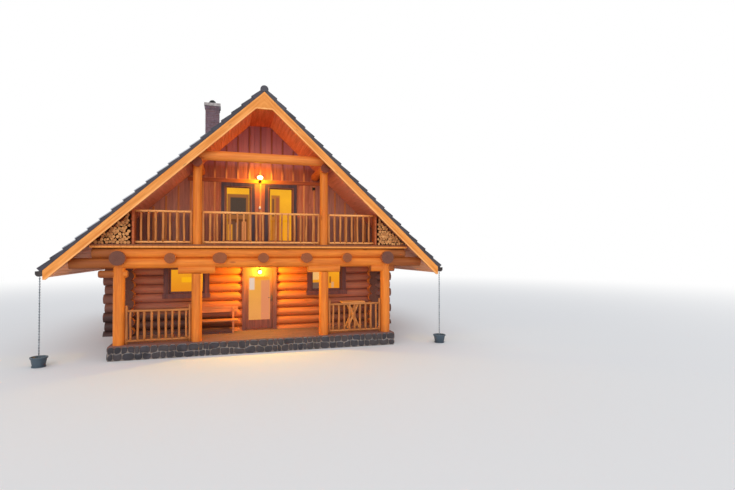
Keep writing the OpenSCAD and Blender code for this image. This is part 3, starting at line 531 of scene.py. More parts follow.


# Panes that glow with painted light in place of a warm lit room behind them, brighter towards the top.
# things: rectangles of the room behind the front's panes, painted into the glow (x0, x1, z0, z1, shade).
def panePaint(name, bottom, top, low, high, level, things):
    paint, slots, coords = newPaint(name, 0.06, **{"IOR": 1.45, "Transmission Weight": 0.1,
        "Emission Strength": level, "Specular IOR Level": 0.06})
    parts = split(coords["Object"])
    spots = useGroup(mottle, Vector=coords["Object"], Scale=1.3, Grit=30.0)
    glow = blendColor(smoothStep(parts[2], low, high), tone(bottom), tone(top))
    glow = blendColor(times(spots["Cloud"], 0.25), glow, tone(bottom, 0.6))
    front = smoothStep(parts[1], -1.0, 1.0, 0.9, 0.0)
    for x0, x1, z0, z1, shade in things:
        place = {"Left": x0, "Right": x1, "Low": z0, "High": z1, "Soft": 0.045}
        mask = useGroup(boxMask, Across=parts[0], Up=parts[2], **place)
        glow = tint(glow, shade, mask["Mask"], front)
    # the panes' painted glow
    wire(slots, {"Emission Color": glow, "Roughness": plus(times(spots["Cloud"], 0.05), 0.04),
        "Base Color": blendColor(spots["Grit"], tone("120c06"), tone("1c140a"))})
    return paint


def globePaint(name):
    paint, slots, coords = newPaint(name, 0.3, **{"Emission Strength": 9.0})
    spots = useGroup(mottle, Vector=coords["Object"], Scale=12.0, Grit=80.0)
    wire(slots, {"Emission Color": blendColor(spots["Cloud"], tone("ffc35a"), tone("ffe08c")),
        "Base Color": blendColor(spots["Cloud"], tone("fff0c8"), tone("ffe0a0"))})
    return paint


# The paints. wide is a spacing that no second log reaches. The things behind panes are (x0, x1, z0, z1,
# shade), and a mineral's numbers are roughness, scale, grit, bump, share and shade per piece, and dirt.
wide = 50.0
rows = (2, floorZ, course)
# The wall logs: a redder wood than the beams and partly painted shade under the porch roof; their sawn ends
# at the corners painted darker as shade.
shadedWallTones = {"light": "d48049", "dark": "9a5234", "end": "825040", "endDark": "553a34"}
gableRows = {"width": 0.1825, "gap": 0.5, "bump": 0.006, "shadeRange": 0.5}
bargeGrain = {"roughness": 0.55, "scale": 1.2, "sloped": True, "dirt": 0.1}
peeled = {"knots": 0.9, "scale": 2.2, "bump": 0.005}
doorThings = [
    (-0.36, 0.36, 2.02, 2.2, "ffa52c"), (-0.35, -0.14, 1.70, 2.14, "ecd8cc"),
    (0.03, 0.36, 0.6, 2.06, "ec9066"),
]
windowThings = [
    (-2.9, -2.73, 1.5, 2.4, "ffb45e"), (-2.45, -1.7, 1.99, 2.2, "ffb60c"),
    (-2.73, -1.7, 1.95, 1.975, "ffc070"), (1.7, 2.07, 1.5, 1.95, "5e4e4c"), (1.7, 2.07, 2.0, 2.4, "f4bc74"),
    (2.36, 2.46, 1.88, 2.15, "7a4018"), (2.43, 2.56, 1.72, 1.96, "d4a272"),
]
balconyThings = [
    (-1.07, -0.33, 3.3, 4.93, "8a4a22"), (-0.97, -0.42, 4.2, 4.82, "302c26"),
    (-0.99, -0.40, 3.3, 4.1, "5e3620"), (-1.03, -0.86, 3.3, 3.92, "f09a14"),
    (-0.78, -0.68, 3.3, 3.98, "d8b4a4"), (-0.60, -0.42, 3.3, 4.02, "e88c54"),
    (0.36, 0.69, 3.3, 4.93, "b0601c"), (0.40, 0.49, 4.16, 4.81, "30241c"), (0.52, 0.67, 3.3, 4.86, "a24c2a"),
]
paints = {
    # Front logs: painted lamp glow near the door, painted shade further out, darker tails past the corners,
    # painted shadows behind the railings and the bench.
    "frontLogs": logPaint("front_logs", 0, [(1, frontY, wide), rows], seams=True,
        paintedLightAndWear=[(2.3, 1.5, "ea7418", 0.4), (2.0, 3.0, "b8786c", 0.4), (3.95, 4.12, "5c4640", 0.65)],
        shadows=[(-1.9, -2.3, 1.1, 1.4, "3a221e", 0.6), (1.9, 2.3, 1.1, 1.4, "3a221e", 0.6),
            (-0.83, -0.98, 0.98, 1.08, "2e2224", 0.7)], **shadedWallTones),
    "backLogs": logPaint("back_logs", 0, [(1, backY, wide), rows], seams=True, seed=3.0, **shadedWallTones),
    "sideLogs": logPaint("side_logs", 1, [(0, sideX, wide), (2, floorZ + course / 2, course)], seams=True,
        seed=5.0, folded=True, **shadedWallTones),
    # Beams and bolsters: darker towards their ends.
    "beams": logPaint("beam_logs", 0, [(1, postY, wide), rows], seed=7.0,
        paintedLightAndWear=[(3.75, 4.15, "5c3020", 0.65)]),
    "tie": logPaint("tie_log", 0, [(1, postY, wide), (2, purlinZ + 0.24, wide)], seed=8.0, light="fb9c42",
        dark="d97630"),
    "bolsters": logPaint("bolster_logs", 0, [(1, postY, wide), (2, bolsterZ, wide)], seed=9.0,
        paintedLightAndWear=[(3.85, 4.1, "5c3020", 0.65)]),
    "joists": logPaint("joist_logs", 1, [(0, 0.0, joistStep), (2, joistZ, wide)], seed=11.0),
    "purlins": logPaint("purlin_logs", 1, [(0, innerX, wide), (2, purlinZ, wide)], seed=13.0, folded=True,
        light="e07a34", dark="ac5222", end="8a4630", endDark="642e20"),
    "posts": logPaint("post_logs", 2, [(0, 0.0, 3.84), (1, postY, wide)], seed=15.0),
    "casing": boardPaint("dark_casing", "7e4338", "52292a", 2, roughness=0.5, coat=0.1),
    "balconyCasing": boardPaint("balcony_casing", "55393a", "38282c", 2, roughness=0.5,
        inner=(0.7, 0.44, 5.16, "9a5630")),
    "leaf": boardPaint("door_leaf", "824234", "562a26", 2, roughness=0.45, coat=0.15),
    # Front gable: painted lamp glow towards the middle, paler further out, darker in the strip between the
    # doors, painted shade above the band board, a painted mauve shade higher up and painted shade low down
    # behind the railing.
    "gable": boardPaint("gable_boards", "d6845f", "904e3e", 2, **gableRows, paintedLightFades=[
        ("out", 2.0, 1.3, "f47e2c", 0.35), ("out", 1.7, 2.6, "f0b49a", 0.3),
        ("out", 0.24, 0.16, "84402c", 0.45), ("up", 5.40, 5.45, "6c3630", 0.45),
        ("up", 5.75, 6.0, "b47c90", 0.5), ("up", 4.3, 4.05, "3c2426", 0.5)]),
    "backGable": boardPaint("gable_boards_back", "d6845f", "904e3e", 2, **gableRows),
    # Front battens: painted lighter than the back ones, as lamp light on them, and painted shade higher up.
    "batten": boardPaint("gable_battens", "f6a058", "c07038", 2, width=0.365,
        paintedLightFades=[("up", 5.55, 5.8, "7e4038", 0.85)]),
    "backBatten": boardPaint("gable_battens_back", "e08c54", "ac5c38", 2, width=0.365),
    # Band board: painted lamp glow towards the middle, under the balcony lamp.
    "bandFace": boardPaint("band_face", "c4622e", "8c4420", 0, paintedLightFades=[("out", 1.4, 0.3, "ee7c1c", 0.75)]),
    # Roof boards: painted bounce light from the snow, paler further out and towards the eaves, and painted
    # shade higher up.
    "soffit": boardPaint("soffit_boards", "ec8664", "bc6044", 1, width=0.1024, dirt=0.1,
        paintedLightFades=[("out", 1.4, 2.7, "ffae90", 0.45), ("up", 6.2, 6.9, "c87058", 0.35),
            ("out", 3.9, 5.2, "e8b89a", 0.6)]),
    "ridgeBoard": boardPaint("ridge_board", "c45436", "9a4028", 1, dirt=0.1),
    "barge": boardPaint("barge_boards", "f6a652", "d9822f", 0, knots=0.7, coat=0.05, **bargeGrain),
    # Barge trim: lighter than the barge boards, a painted highlight.
    "bargeTrim": boardPaint("barge_trim", "ffc078", "eea058", 0, knots=0.2, **bargeGrain),
    "porch": boardPaint("porch_boards", "9c6a60", "72504a", 0, width=0.145, acrossAxis=1, roughness=0.75,
        edge="6e4c40", scale=3.0, shadeRange=0.3),
    # Floor edges: a painted shadow line dark above, orange like the beam below.
    "floor": boardPaint("floor_boards", "a9713f", "7e4d28", 1, width=0.16, gap=0.7, roughness=0.5,
        edge="7c3e1e", edgeTop=(deckZ - 0.05, "f69c46"), dirt=0.1),
    "bench": boardPaint("bench_timber", "e0864c", "ac6034", 0, dirt=0.1),
    # The table's timber is painted lighter than the bench's, partly as painted lamp light.
    "table": boardPaint("table_timber", "ffb86c", "da8640", 0, dirt=0.1),
    "branch": boardPaint("peeled_branch", "d88c48", "a85e2a", 2, roughness=0.55, dirt=0.1, **peeled),
    "rail": boardPaint("peeled_rail", "ffba72", "dc8842", 0, roughness=0.55, dirt=0.1, **peeled),
    "porchBranch": boardPaint("porch_branch", "cc8244", "9c5828", 2, **peeled),
    "porchRail": boardPaint("porch_rail", "cc8448", "9c5c2c", 0, **peeled),
    "splitWood": mineralPaint("split_wood", "e8a866", "bf7c40", 0.8, 14.0, 90.0, 0.003, 0.7, "a0602f", 0.05,
        bark="5c3620"),
    "stone": mineralPaint("plinth_stone", "3f3c44", "222026", 0.85, 5.0, 55.0, 0.008, 0.7, "4c4342", 0.2,
        frost=0.4),
    "mortar": mineralPaint("plinth_mortar", "9c8e86", "786c64", 0.95, 7.0, 80.0, 0.004),
    "tile": mineralPaint("roof_tile", "383641", "232129", 0.6, 2.5, 70.0, 0.002, 0.5, "4a4850", 0.1,
        frost=0.12),
    "rimeTile": mineralPaint("rimed_tile", "33303c", "1f1d26", 0.6, 2.5, 70.0, 0.002, 0.5, "3a3644", 0.1,
        frost=0.6, rimed=True),
    "brick": mineralPaint("chimney_brick", "7d6370", "57444f", 0.9, 8.0, 60.0, 0.004, 0.7, "6a4a48", 0.15),
    "brickMortar": mineralPaint("chimney_mortar", "8a8088", "6c636c", 0.95, 9.0, 80.0, 0.003),
    "capSlab": mineralPaint("cap_slab", "beb6b4", "8e8684", 0.9, 9.0, 80.0, 0.003, dirt=0.1),
    "gutter": metalPaint("gutter_coat", "3a2f2c", "241d1c", 0.4, 0.3),
    "lead": metalPaint("lead_sheet", "6a7078", "4a4e54", 0.6, 0.3),
    "chain": metalPaint("chain_metal", "9aa2aa", "6c747c", 0.45, 0.5),
    "iron": metalPaint("dark_iron", "2c2826", "181615", 0.45, 0.8),
    "steel": metalPaint("worn_bronze", "6e5a4a", "4c3e34", 0.4, 0.8),
    "tub": mineralPaint("tub_glaze", "485a68", "2e3c48", 0.45, 3.0, 50.0, 0.001),
    "whiteGlass": mineralPaint("white_fitting", "f0ece6", "d8d0c8", 0.3, 6.0, 50.0, 0.0005, dirt=0.0),
    "doorPane": panePaint("door_pane", "f8a656", "fbb04a", 0.7, 2.2, 0.84, doorThings),
    "windowPane": panePaint("window_pane", "f4921a", "fba81c", 1.6, 2.4, 0.95, windowThings),
    "balconyPane": panePaint("balcony_pane", "f49c0c", "ffb40c", 3.4, 5.0, 0.95, balconyThings),
    "globe": globePaint("lamp_globe"),
}
print("chalet: materials")

nodePaints = {
    "front_wall_left": "frontLogs", "front_wall_right": "frontLogs", "front_wall_head": "frontLogs",
    "back_wall": "backLogs", "left_wall": "sideLogs", "right_wall": "sideLogs", "front_beam_lower": "beams",
    "front_beam_upper": "beams", "tie_beam": "tie", "post_bolsters": "bolsters", "floor_joists": "joists",
    "roof_purlins": "purlins", "log_posts": "posts", "door_frame": "casing", "window_frames": "casing",
    "balcony_doors": "balconyCasing", "entrance_door": "leaf", "door_glass": "doorPane",
    "window_glass": "windowPane", "balcony_door_glass": "balconyPane", "door_ironwork": "steel",
    "gable_wall_front": "gable", "gable_wall_back": "backGable", "ridge_beam": "ridgeBoard",
    "barge_boards": "barge", "ground_floor": "floor", "upper_floor": "floor", "porch_floor": "porch",
    "porch_bench": "bench", "porch_table": "table", "stone_plinth": "mortar", "roof_deck": "soffit",
    "roof_tiles": "tile", "ridge_cap": "tile", "gutters": "gutter", "rain_chains": "chain",
    "rain_tubs": "tub", "chimney": "brickMortar", "firewood": "splitWood", "lamps": "globe",
    "balcony_railing_left": "branch", "balcony_railing_middle": "branch", "balcony_railing_right": "branch",
    "porch_railing_left": "porchBranch", "porch_railing_right": "porchBranch",
}
for name, node in nodes.items():
    node.data.materials.clear()
    node.data.materials.append(paints[nodePaints[name]])


# Pieces made in mesh code.
class Pile:  # vertices and faces of one piece, gathered shape by shape
    def __init__(self):
        self.verts, self.faces = [], []

    def add(self, verts, faces):
        start = len(self.verts)
        self.verts += [tuple(v) for v in verts]
        self.faces += [tuple(i + start for i in face) for face in faces]

    def hexa(self, corners):  # eight corners: four below, four above, each in the same turn
        around = [(i, (i + 1) % 4, 4 + (i + 1) % 4, 4 + i) for i in range(4)]
        self.add(corners, [(3, 2, 1, 0), (4, 5, 6, 7)] + around)

    def box(self, low, high):
        (x0, y0, z0), (x1, y1, z1) = low, high
        self.hexa([(x, y, z) for z in (z0, z1) for x, y in ((x0, y0), (x1, y0), (x1, y1), (x0, y1))])

    def loops(self, rings, closed=False):  # skins rings of equal length, with flat ends unless closed
        count = len(rings[0])
        verts = [v for ring in rings for v in ring]
        faces = []
        for k in range(len(rings) if closed else len(rings) - 1):
            a, b = k * count, ((k + 1) % len(rings)) * count
            faces += [(a + i, a + (i + 1) % count, b + (i + 1) % count, b + i) for i in range(count)]
        if not closed:
            faces += [tuple(reversed(range(count))), tuple(range(len(verts) - count, len(verts)))]
        self.add(verts, faces)

    def tube(self, path, radii, sides):
        rings = []
        for k, point in enumerate(path):
            ahead = Vector(path[min(k + 1, len(path) - 1)]) - Vector(path[max(k - 1, 0)])
            ahead.normalize()
            right = ahead.cross(Vector((0, 0, 1)) if abs(ahead.z) < 0.9 else Vector((1, 0, 0))).normalized()
            up = right.cross(ahead)
            rings.append([Vector(point) + (right * math.cos(t) + up * math.sin(t)) * radii[k]
                for t in circle(sides)])
        self.loops(rings)


def circle(sides):
    return [2 * math.pi * i / sides for i in range(sides)]


def makePiece(name, pile, paint, replaced=(), bevel=0.0, smooth=False):
    mesh = bpy.data.meshes.new(name)
    mesh.from_pydata(pile.verts, [], pile.faces)
    mesh.materials.append(paints[paint])
    mesh.polygons.foreach_set("use_smooth", [smooth] * len(mesh.polygons))
    mesh.validate()
    piece = bpy.data.objects.new(name, mesh)
    scene.collection.objects.link(piece)
    if bevel:
        edge = piece.modifiers.new("soft_edges", "BEVEL")
        edge.width, edge.segments = bevel, 1
        edge.limit_method, edge.angle_limit = "ANGLE", math.radians(35)
    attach(piece, "house")
    if replaced:
        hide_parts(*replaced)
    print("chalet: piece", name, len(mesh.polygons), "faces")


# Rubble stones over the faces of the plinth, lower where the porch slab lies on it.
# profile: how far out (a share of proud) and how far in from the joint each ring of a stone lies.
stoneLook = {
    "width": 0.20, "rows": 2, "joint": 0.009, "proud": 0.030, "seed": 11, "lift": 0.004, "porchTop": 0.384,
    "firstWide": (0.4, 1.0), "wide": (0.55, 1.6), "least": 0.12, "wave": 0.04, "tilt": 0.06,
    "core": 0.3, "smallest": 0.03, "prouder": (0.55, 1.0),
    "profile": ((0.0, 0.0), (0.6, 0.001), (0.9, 0.007), (1.0, 0.020)),
}
plinthLow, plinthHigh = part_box("stone_plinth")
porchLow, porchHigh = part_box("porch_floor")


def rounded(outline):  # cuts every corner
    cut = []
    for a, b in zip(outline, outline[1:] + outline[:1]):
        cut += [a.lerp(b, 0.25), a.lerp(b, 0.75)]
    return cut


def stoneWall(pile, corner, along, length, height, rng):
    out = Vector((along.y, -along.x, 0))
    count, lines, cuts = stoneLook["rows"], [], []
    for row in range(count):
        edges, place = [0.0], stoneLook["width"] * rng.uniform(*stoneLook["firstWide"])
        while place < length - stoneLook["least"]:
            edges.append(place)
            place += stoneLook["width"] * rng.uniform(*stoneLook["wide"])
        cuts.append(edges + [length])
    for line in range(count + 1):
        near = sorted(set((cuts[line - 1] if line > 0 else []) + (cuts[line] if line < count else [])))
        wave = 0.0 if line in (0, count) else stoneLook["wave"]
        lines.append([(x, height * line / count + rng.uniform(-wave, wave)) for x in near])
    for row in range(count):
        for x0, x1 in zip(cuts[row], cuts[row][1:]):
            around = [p for p in lines[row] + lines[row + 1][::-1] if x0 <= p[0] <= x1]
            outline = rounded([Vector(p) for p in around])
            middle = sum(outline, Vector((0, 0))) / len(outline)
            proud = stoneLook["proud"] * rng.uniform(*stoneLook["prouder"])
            tilt = rng.uniform(-stoneLook["tilt"], stoneLook["tilt"])
            rings = []
            for share, pull in stoneLook["profile"]:
                ring = []
                for p in outline:
                    gap = p - middle
                    size = 1 - (stoneLook["joint"] + pull) / max(gap.length, stoneLook["smallest"])
                    flat = middle + gap * max(stoneLook["core"], size)
                    push = proud * share + tilt * gap.x if share else -stoneLook["lift"]
                    ring.append(corner + along * flat.x + Vector((0, 0, flat.y)) + out * push)
                rings.append(ring)
            pile.loops(rings)


rng = random.Random(stoneLook["seed"])
stones = Pile()
plinthX, startY, endY, topZ = plinthHigh.x, plinthLow.y, plinthHigh.y, plinthHigh.z - stoneLook["lift"]
slabY, slabZ = porchHigh.y, stoneLook["porchTop"]
porchLong, houseLong = slabY - startY, endY - slabY
for x, y, along, length, height in (
        (-plinthX, startY, (1, 0, 0), 2 * plinthX, slabZ), (plinthX, startY, (0, 1, 0), porchLong, slabZ),
        (plinthX, slabY, (0, 1, 0), houseLong, topZ), (plinthX, endY, (-1, 0, 0), 2 * plinthX, topZ),
        (-plinthX, endY, (0, -1, 0), houseLong, topZ), (-plinthX, slabY, (0, -1, 0), porchLong, slabZ)):
    stoneWall(stones, Vector((x, y, stoneLook["lift"])), Vector(along), length, height, rng)
makePiece("plinth_stones", stones, "stone", smooth=True)

# Porch boards, laid along the front. The first board of each row is a random share of the length.
porchLook = {
    "width": 0.140, "gap": 0.005, "endGap": 0.004, "length": 2.7, "first": (0.3, 1.0), "seed": 4,
    "narrowest": 0.02, "shortest": 0.01,
}
rng = random.Random(porchLook["seed"])
planks = Pile()
y = porchLow.y
while y < porchHigh.y - porchLook["narrowest"]:
    x, y1 = porchLow.x, min(y + porchLook["width"] - porchLook["gap"], porchHigh.y)
    reach = porchLook["length"] * rng.uniform(*porchLook["first"])
    while x < porchHigh.x - porchLook["shortest"]:
        x1 = min(x + reach, porchHigh.x)
        planks.box((x, y, porchLow.z), (x1 - porchLook["endGap"], y1, porchHigh.z))
        x, reach = x1, porchLook["length"]
    y += porchLook["width"]
makePiece("porch_planks", planks, "porch", ("porch_floor",), bevel=0.004)

# Cover strips over the joints of both gables, and the face of the band board. Doors and windows are
# blocked between two distances from the middle, and the ridge beam and purlins over their half widths.
stripLook = {
    "spacing": 0.365, "offset": 0.02, "width": 0.062, "thick": 0.022, "reach": 4.4, "fit": 0.012,
    "doors": (0.165, 1.235), "doorZ": 3.0, "windows": (0.135, 1.265), "windowZ": (3.94, 5.265),
    "shortest": 0.05, "aboveDeck": 0.003,
    "ridgeBeam": 0.37, "ridgeDrop": 0.325, "purlin": 0.17, "purlinHigh": 0.15,
    "band": (5.2753, 5.4003), "bandT": 0.025, "bandFace": (0.004, 0.006), "bandFit": 0.002, "bandEnd": 0.004,
}
bandLow, bandHigh = stripLook["band"]


def openSpans(low, high, blocked):  # what is left of low..high between the blocked heights
    spans = [(low, high)]
    for z0, z1 in blocked:
        spans = [s for a, b in spans for s in ((a, min(b, z0)), (max(a, z1), b))]
    return [(a, b) for a, b in spans if b - a > stripLook["shortest"]]


def gableStrips(name, paint, face, out, openX, openZ, always):
    strips = Pile()
    count = int(stripLook["reach"] / stripLook["spacing"])
    half = stripLook["width"] / 2
    y0, y1 = sorted((face, face + out * stripLook["thick"]))
    for k in range(-count, count + 1):
        x = stripLook["offset"] + k * stripLook["spacing"]
        top = min(underRoof(x - half), underRoof(x + half)) - stripLook["fit"]
        if abs(x) < stripLook["ridgeBeam"]:
            top = min(top, underRidge - stripLook["ridgeDrop"])
        blocked = list(always)
        if openX[0] - half < abs(x) < openX[1] + half:
            blocked.append(openZ)
        if abs(abs(x) - innerX) < stripLook["purlin"]:
            blocked.append((purlinZ - stripLook["purlinHigh"], purlinZ + stripLook["purlinHigh"]))
        for low, high in openSpans(deckZ + stripLook["aboveDeck"], top, blocked):
            strips.box((x - half, y0, low), (x + half, y1, high))
    makePiece(name, strips, paint, bevel=0.004)


gableStrips("gable_strips_front", "batten", gableFront, -1, stripLook["doors"],
    (stripLook["doorZ"], bandLow), [stripLook["band"]])
gableStrips("gable_strips_back", "backBatten", gableBack, 1, stripLook["windows"], stripLook["windowZ"], [])
band = Pile()
half, fit = (underRidge - bandHigh) / tanP - stripLook["bandEnd"], stripLook["bandFit"]
bandY = gableFront - stripLook["bandT"]
proud, sunk = stripLook["bandFace"]
band.box((-half, bandY - proud, bandLow + fit), (half, bandY + sunk, bandHigh - fit))
makePiece("band_face", band, "bandFace", bevel=0.003)

# Roof boards: a core with planks under it.
soffitLook = {
    "board": 0.14, "gap": 0.006, "thick": 0.022, "inside": 0.002, "short": 0.001, "eaveGap": 0.01,
    "narrowest": 0.03,
}
boards = Pile()
upper = deckT - soffitLook["thick"]
core = (upper + soffitLook["inside"]) / cosP
eaveZ = ridgeZ - eaveX * tanP
last = eaveX / cosP + deckT * tanP - soffitLook["eaveGap"]
y0, y1 = roofY0 + soffitLook["short"], roofY1 - soffitLook["short"]
for side in (-1, 1):
    profile = ((0, ridgeZ), (side * eaveX, eaveZ), (side * eaveX, eaveZ - core), (0, ridgeZ - core))
    ends = [[(x, y, z) for x, z in profile] for y in (roofY0, roofY1)]
    boards.loops(ends[::-side])
    s = deckT * tanP
    while s < last - soffitLook["narrowest"]:
        s1 = min(s + soffitLook["board"] - soffitLook["gap"], last)
        bottom, top = (slopeQuad(side, s, s1, -o, -o, y0, y1) for o in (deckT, upper))
        boards.hexa(bottom + top if side > 0 else top + bottom)
        s += soffitLook["board"]
makePiece("roof_boarding", boards, "soffit", ("roof_deck",), bevel=0.003)

# A trim along the lower edge of the barge boards, front and back, painted pale as a painted highlight along
# that edge.
trimLook = {
    "wide": 0.036, "proud": 0.008, "sunk": 0.004, "bargeW": 0.22, "bargeT": 0.045, "gussetDrop": 0.315,
    "tipZ": 2.254,
}
trim = Pile()
gussetLow = underRidge - trimLook["gussetDrop"]
gussetHigh = gussetLow + trimLook["wide"]
lowO = -trimLook["bargeW"]
highO = lowO + trimLook["wide"]
profile = [((ridgeZ + o * cosP - z) / sinP, o) for o, z in (
    (lowO, gussetLow), (lowO, trimLook["tipZ"]), (highO, trimLook["tipZ"]), (highO, gussetHigh))]
lowX, highX = onSlope(1, *profile[0], 0).x, onSlope(1, *profile[3], 0).x
for face, out in ((roofY0 - trimLook["bargeT"], -1), (roofY1 + trimLook["bargeT"], 1)):
    y0, y1 = sorted((face - out * trimLook["sunk"], face + out * trimLook["proud"]))
    for side in (-1, 1):
        ends = [[onSlope(side, s, o, y) for s, o in profile] for y in (y0, y1)]
        trim.loops(ends[::-side])
    trim.hexa([(x * a, y, z) for x, z in ((lowX, gussetLow), (highX, gussetHigh))
        for a, y in ((-1, y0), (1, y0), (1, y1), (-1, y1))])
makePiece("barge_trim", trim, "bargeTrim", bevel=0.002)

# Roof tiles: one strip of rolled tiles for each course, and a row of verge tiles at both ends.
tileY0, tileY1 = roofY0 - tileLook["verge"], roofY1 + tileLook["verge"]
stripY0, stripY1 = tileY0 + tileLook["inside"], tileY1 - tileLook["inside"]
columns = int(round((stripY1 - stripY0) / tileLook["roll"])) * tileLook["steps"]
lowO, highO, foot = tileLook["low"], tileLook["high"], tileLook["foot"]
for side, label in ((-1, "left"), (1, "right")):
    tiles, verges = Pile(), Pile()
    for row in range(tileLook["rows"]):
        start, end = max(row * tileRun - tileLook["lap"], 0.0), (row + 1) * tileRun
        rings = []
        for k in range(columns + 1):
            y = stripY0 + (stripY1 - stripY0) * k / columns
            turn = 2 * math.pi * k / tileLook["steps"]
            wave = tileLook["wave"] * (max(0.0, math.cos(turn)) ** 0.7 * 1.6 - 0.6)
            profile = ((start, foot), (start, lowO + wave), (end - tileLook["noseDeep"], highO + wave),
                (end, highO - tileLook["nose"] + wave), (end, foot))
            ring = [onSlope(side, s, o, y) for s, o in profile]
            for point in ring:
                if side * point.x < tileLook["ridgeGap"]:
                    point.x = side * tileLook["ridgeGap"]
            rings.append(ring[::side])
        tiles.loops(rings)
        start, end = row * tileRun + (tileLook["vergeJoint"] if row else 0.0), end + tileLook["vergeLap"]
        for y0, y1 in ((tileY0, tileY0 + tileLook["vergeWide"]), (tileY1 - tileLook["vergeWide"], tileY1)):
            low = slopeQuad(side, start, end, tileLook["vergeFoot"], tileLook["vergeFoot"], y0, y1)
            top = slopeQuad(side, start, end, *tileLook["vergeTop"], y0, y1)
            verges.hexa(low[::side] + top[::side])
    makePiece("tiles_" + label, tiles, "tile", ("roof_tiles",))
    makePiece("verge_tiles_" + label, verges, "rimeTile" if side < 0 else "tile", bevel=0.006)

# Ridge tiles, each a half-round cap that laps the next. thinner: (distance along, less radius).
ridgeLook = {
    "length": 0.41, "radius": 0.119, "lap": 0.05, "sides": 14, "from": -35, "sweep": 250, "drop": 0.12,
    "thinner": ((0, 0), (0.05, 0), (0.055, 0.007), (0.41, 0.014)),
}
capLow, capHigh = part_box("ridge_cap")
caps = Pile()
count = int((capHigh.y - capLow.y) / (ridgeLook["length"] - ridgeLook["lap"]))
step = (capHigh.y - capLow.y - ridgeLook["length"]) / (count - 1)
baseZ = capHigh.z - ridgeLook["drop"]
sides = ridgeLook["sides"]
turns = [math.radians(ridgeLook["from"] + ridgeLook["sweep"] * i / sides) for i in range(sides + 1)]
for k in range(count):
    rings = []
    for ahead, less in ridgeLook["thinner"]:
        y, r = capLow.y + k * step + ahead, ridgeLook["radius"] - less
        rings.append([(r * math.cos(t), y, baseZ + r * math.sin(t)) for t in turns])
    caps.loops(rings)
makePiece("ridge_tiles", caps, "tile", ("ridge_cap",))

# Chimney bricks as slips over the stack, and a lead apron where it leaves the roof.
brickLook = {
    "length": 0.24, "height": 0.068, "joint": 0.010, "proud": 0.005, "sunk": 0.01, "least": 0.03, "seed": 8,
    "half": 0.245, "top": 0.86, "firstDrop": 0.10, "hidden": 0.08,
    "capDeep": 0.19, "capGrow": 0.018, "capProud": 0.004, "capStep": 0.12, "capHigh": (0.006, 0.089),
}
leadLook = {
    "lift": 0.136, "thick": 0.004, "wide": 0.13, "upstand": 0.12, "under": 0.03, "collar": (0.006, 0.014),
}
stackLow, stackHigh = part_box("chimney")
stackX, stackY = (stackLow.x + stackHigh.x) / 2, (stackLow.y + stackHigh.y) / 2
stackTop = ridgeZ + brickLook["top"]
capBase = stackTop - brickLook["capDeep"]
half, high = brickLook["half"], brickLook["height"]
rng = random.Random(brickLook["seed"])
bricks = Pile()
stackFaces = ((0, -1), (0, 1), (1, -1), (1, 1))


def tileTop(x):
    return ridgeZ - abs(x) * tanP + leadLook["lift"] / cosP


def brickSlip(axis, sign, a, b, inside, outside, z0, z1):
    near, far = sorted((sign * inside, sign * outside))
    low, high = ((a, near), (b, far)) if axis == 0 else ((near, a), (far, b))
    bricks.box((stackX + low[0], stackY + low[1], z0), (stackX + high[0], stackY + high[1], z1))


z, row = tileTop(abs(stackX) + half) - brickLook["firstDrop"], 0
while z + high < capBase:
    for axis, sign in stackFaces:
        place = -half + (0.0 if (row + axis) % 2 else -brickLook["length"] / 2)
        while place < half:
            a = max(place + brickLook["joint"] / 2, -half)
            b = min(place + brickLook["length"] - brickLook["joint"] / 2, half)
            place += brickLook["length"]
            middle = stackX + ((a + b) / 2 if axis == 0 else sign * half)
            if b - a < brickLook["least"] or z + high < tileTop(middle) - brickLook["hidden"]:
                continue
            outside = half + brickLook["proud"] * rng.uniform(0.5, 1.0)
            brickSlip(axis, sign, a, b, half - brickLook["sunk"], outside, z, z + high - brickLook["joint"])
    z += high
    row += 1
grow = half + brickLook["capGrow"]
for axis, sign in stackFaces:
    for k in range(-3, 3):
        a = max(-grow, k * brickLook["capStep"] + brickLook["joint"] / 2)
        b = min(grow, (k + 1) * brickLook["capStep"] - brickLook["joint"] / 2)
        if b - a > brickLook["least"]:
            z0, z1 = (capBase + h for h in brickLook["capHigh"])
            brickSlip(axis, sign, a, b, grow - brickLook["sunk"], grow + brickLook["capProud"], z0, z1)
makePiece("chimney_bricks", bricks, "brick", bevel=0.003)


def stackRings(profile):  # square rings around the stack, from (half width, height)
    return [[(stackX + r * a, stackY + r * b, z) for a, b in squareTurn] for r, z in profile]


lead = Pile()
side = 1 if stackX > 0 else -1
up, under, thick, apron = (leadLook[key] for key in ("upstand", "under", "thick", "wide"))
inside, outside = (half + grow for grow in leadLook["collar"])
lead.loops([[(stackX + r * a, stackY + r * b, tileTop(stackX + r * a) + z) for a, b in squareTurn]
    for r, z in ((outside, -under), (outside, up), (inside, up), (inside, -under))], closed=True)
rings = []
for o, grow in ((0, apron), (thick, apron), (thick, thick), (0, thick)):
    o += leadLook["lift"]
    middle, reach = (abs(stackX) - o * sinP) / cosP, side * (half / cosP + grow)
    rings.append([onSlope(side, middle + a * reach, o, stackY + b * (half + grow)) for a, b in squareTurn])
lead.loops(rings, closed=True)
makePiece("chimney_flashing", lead, "lead")

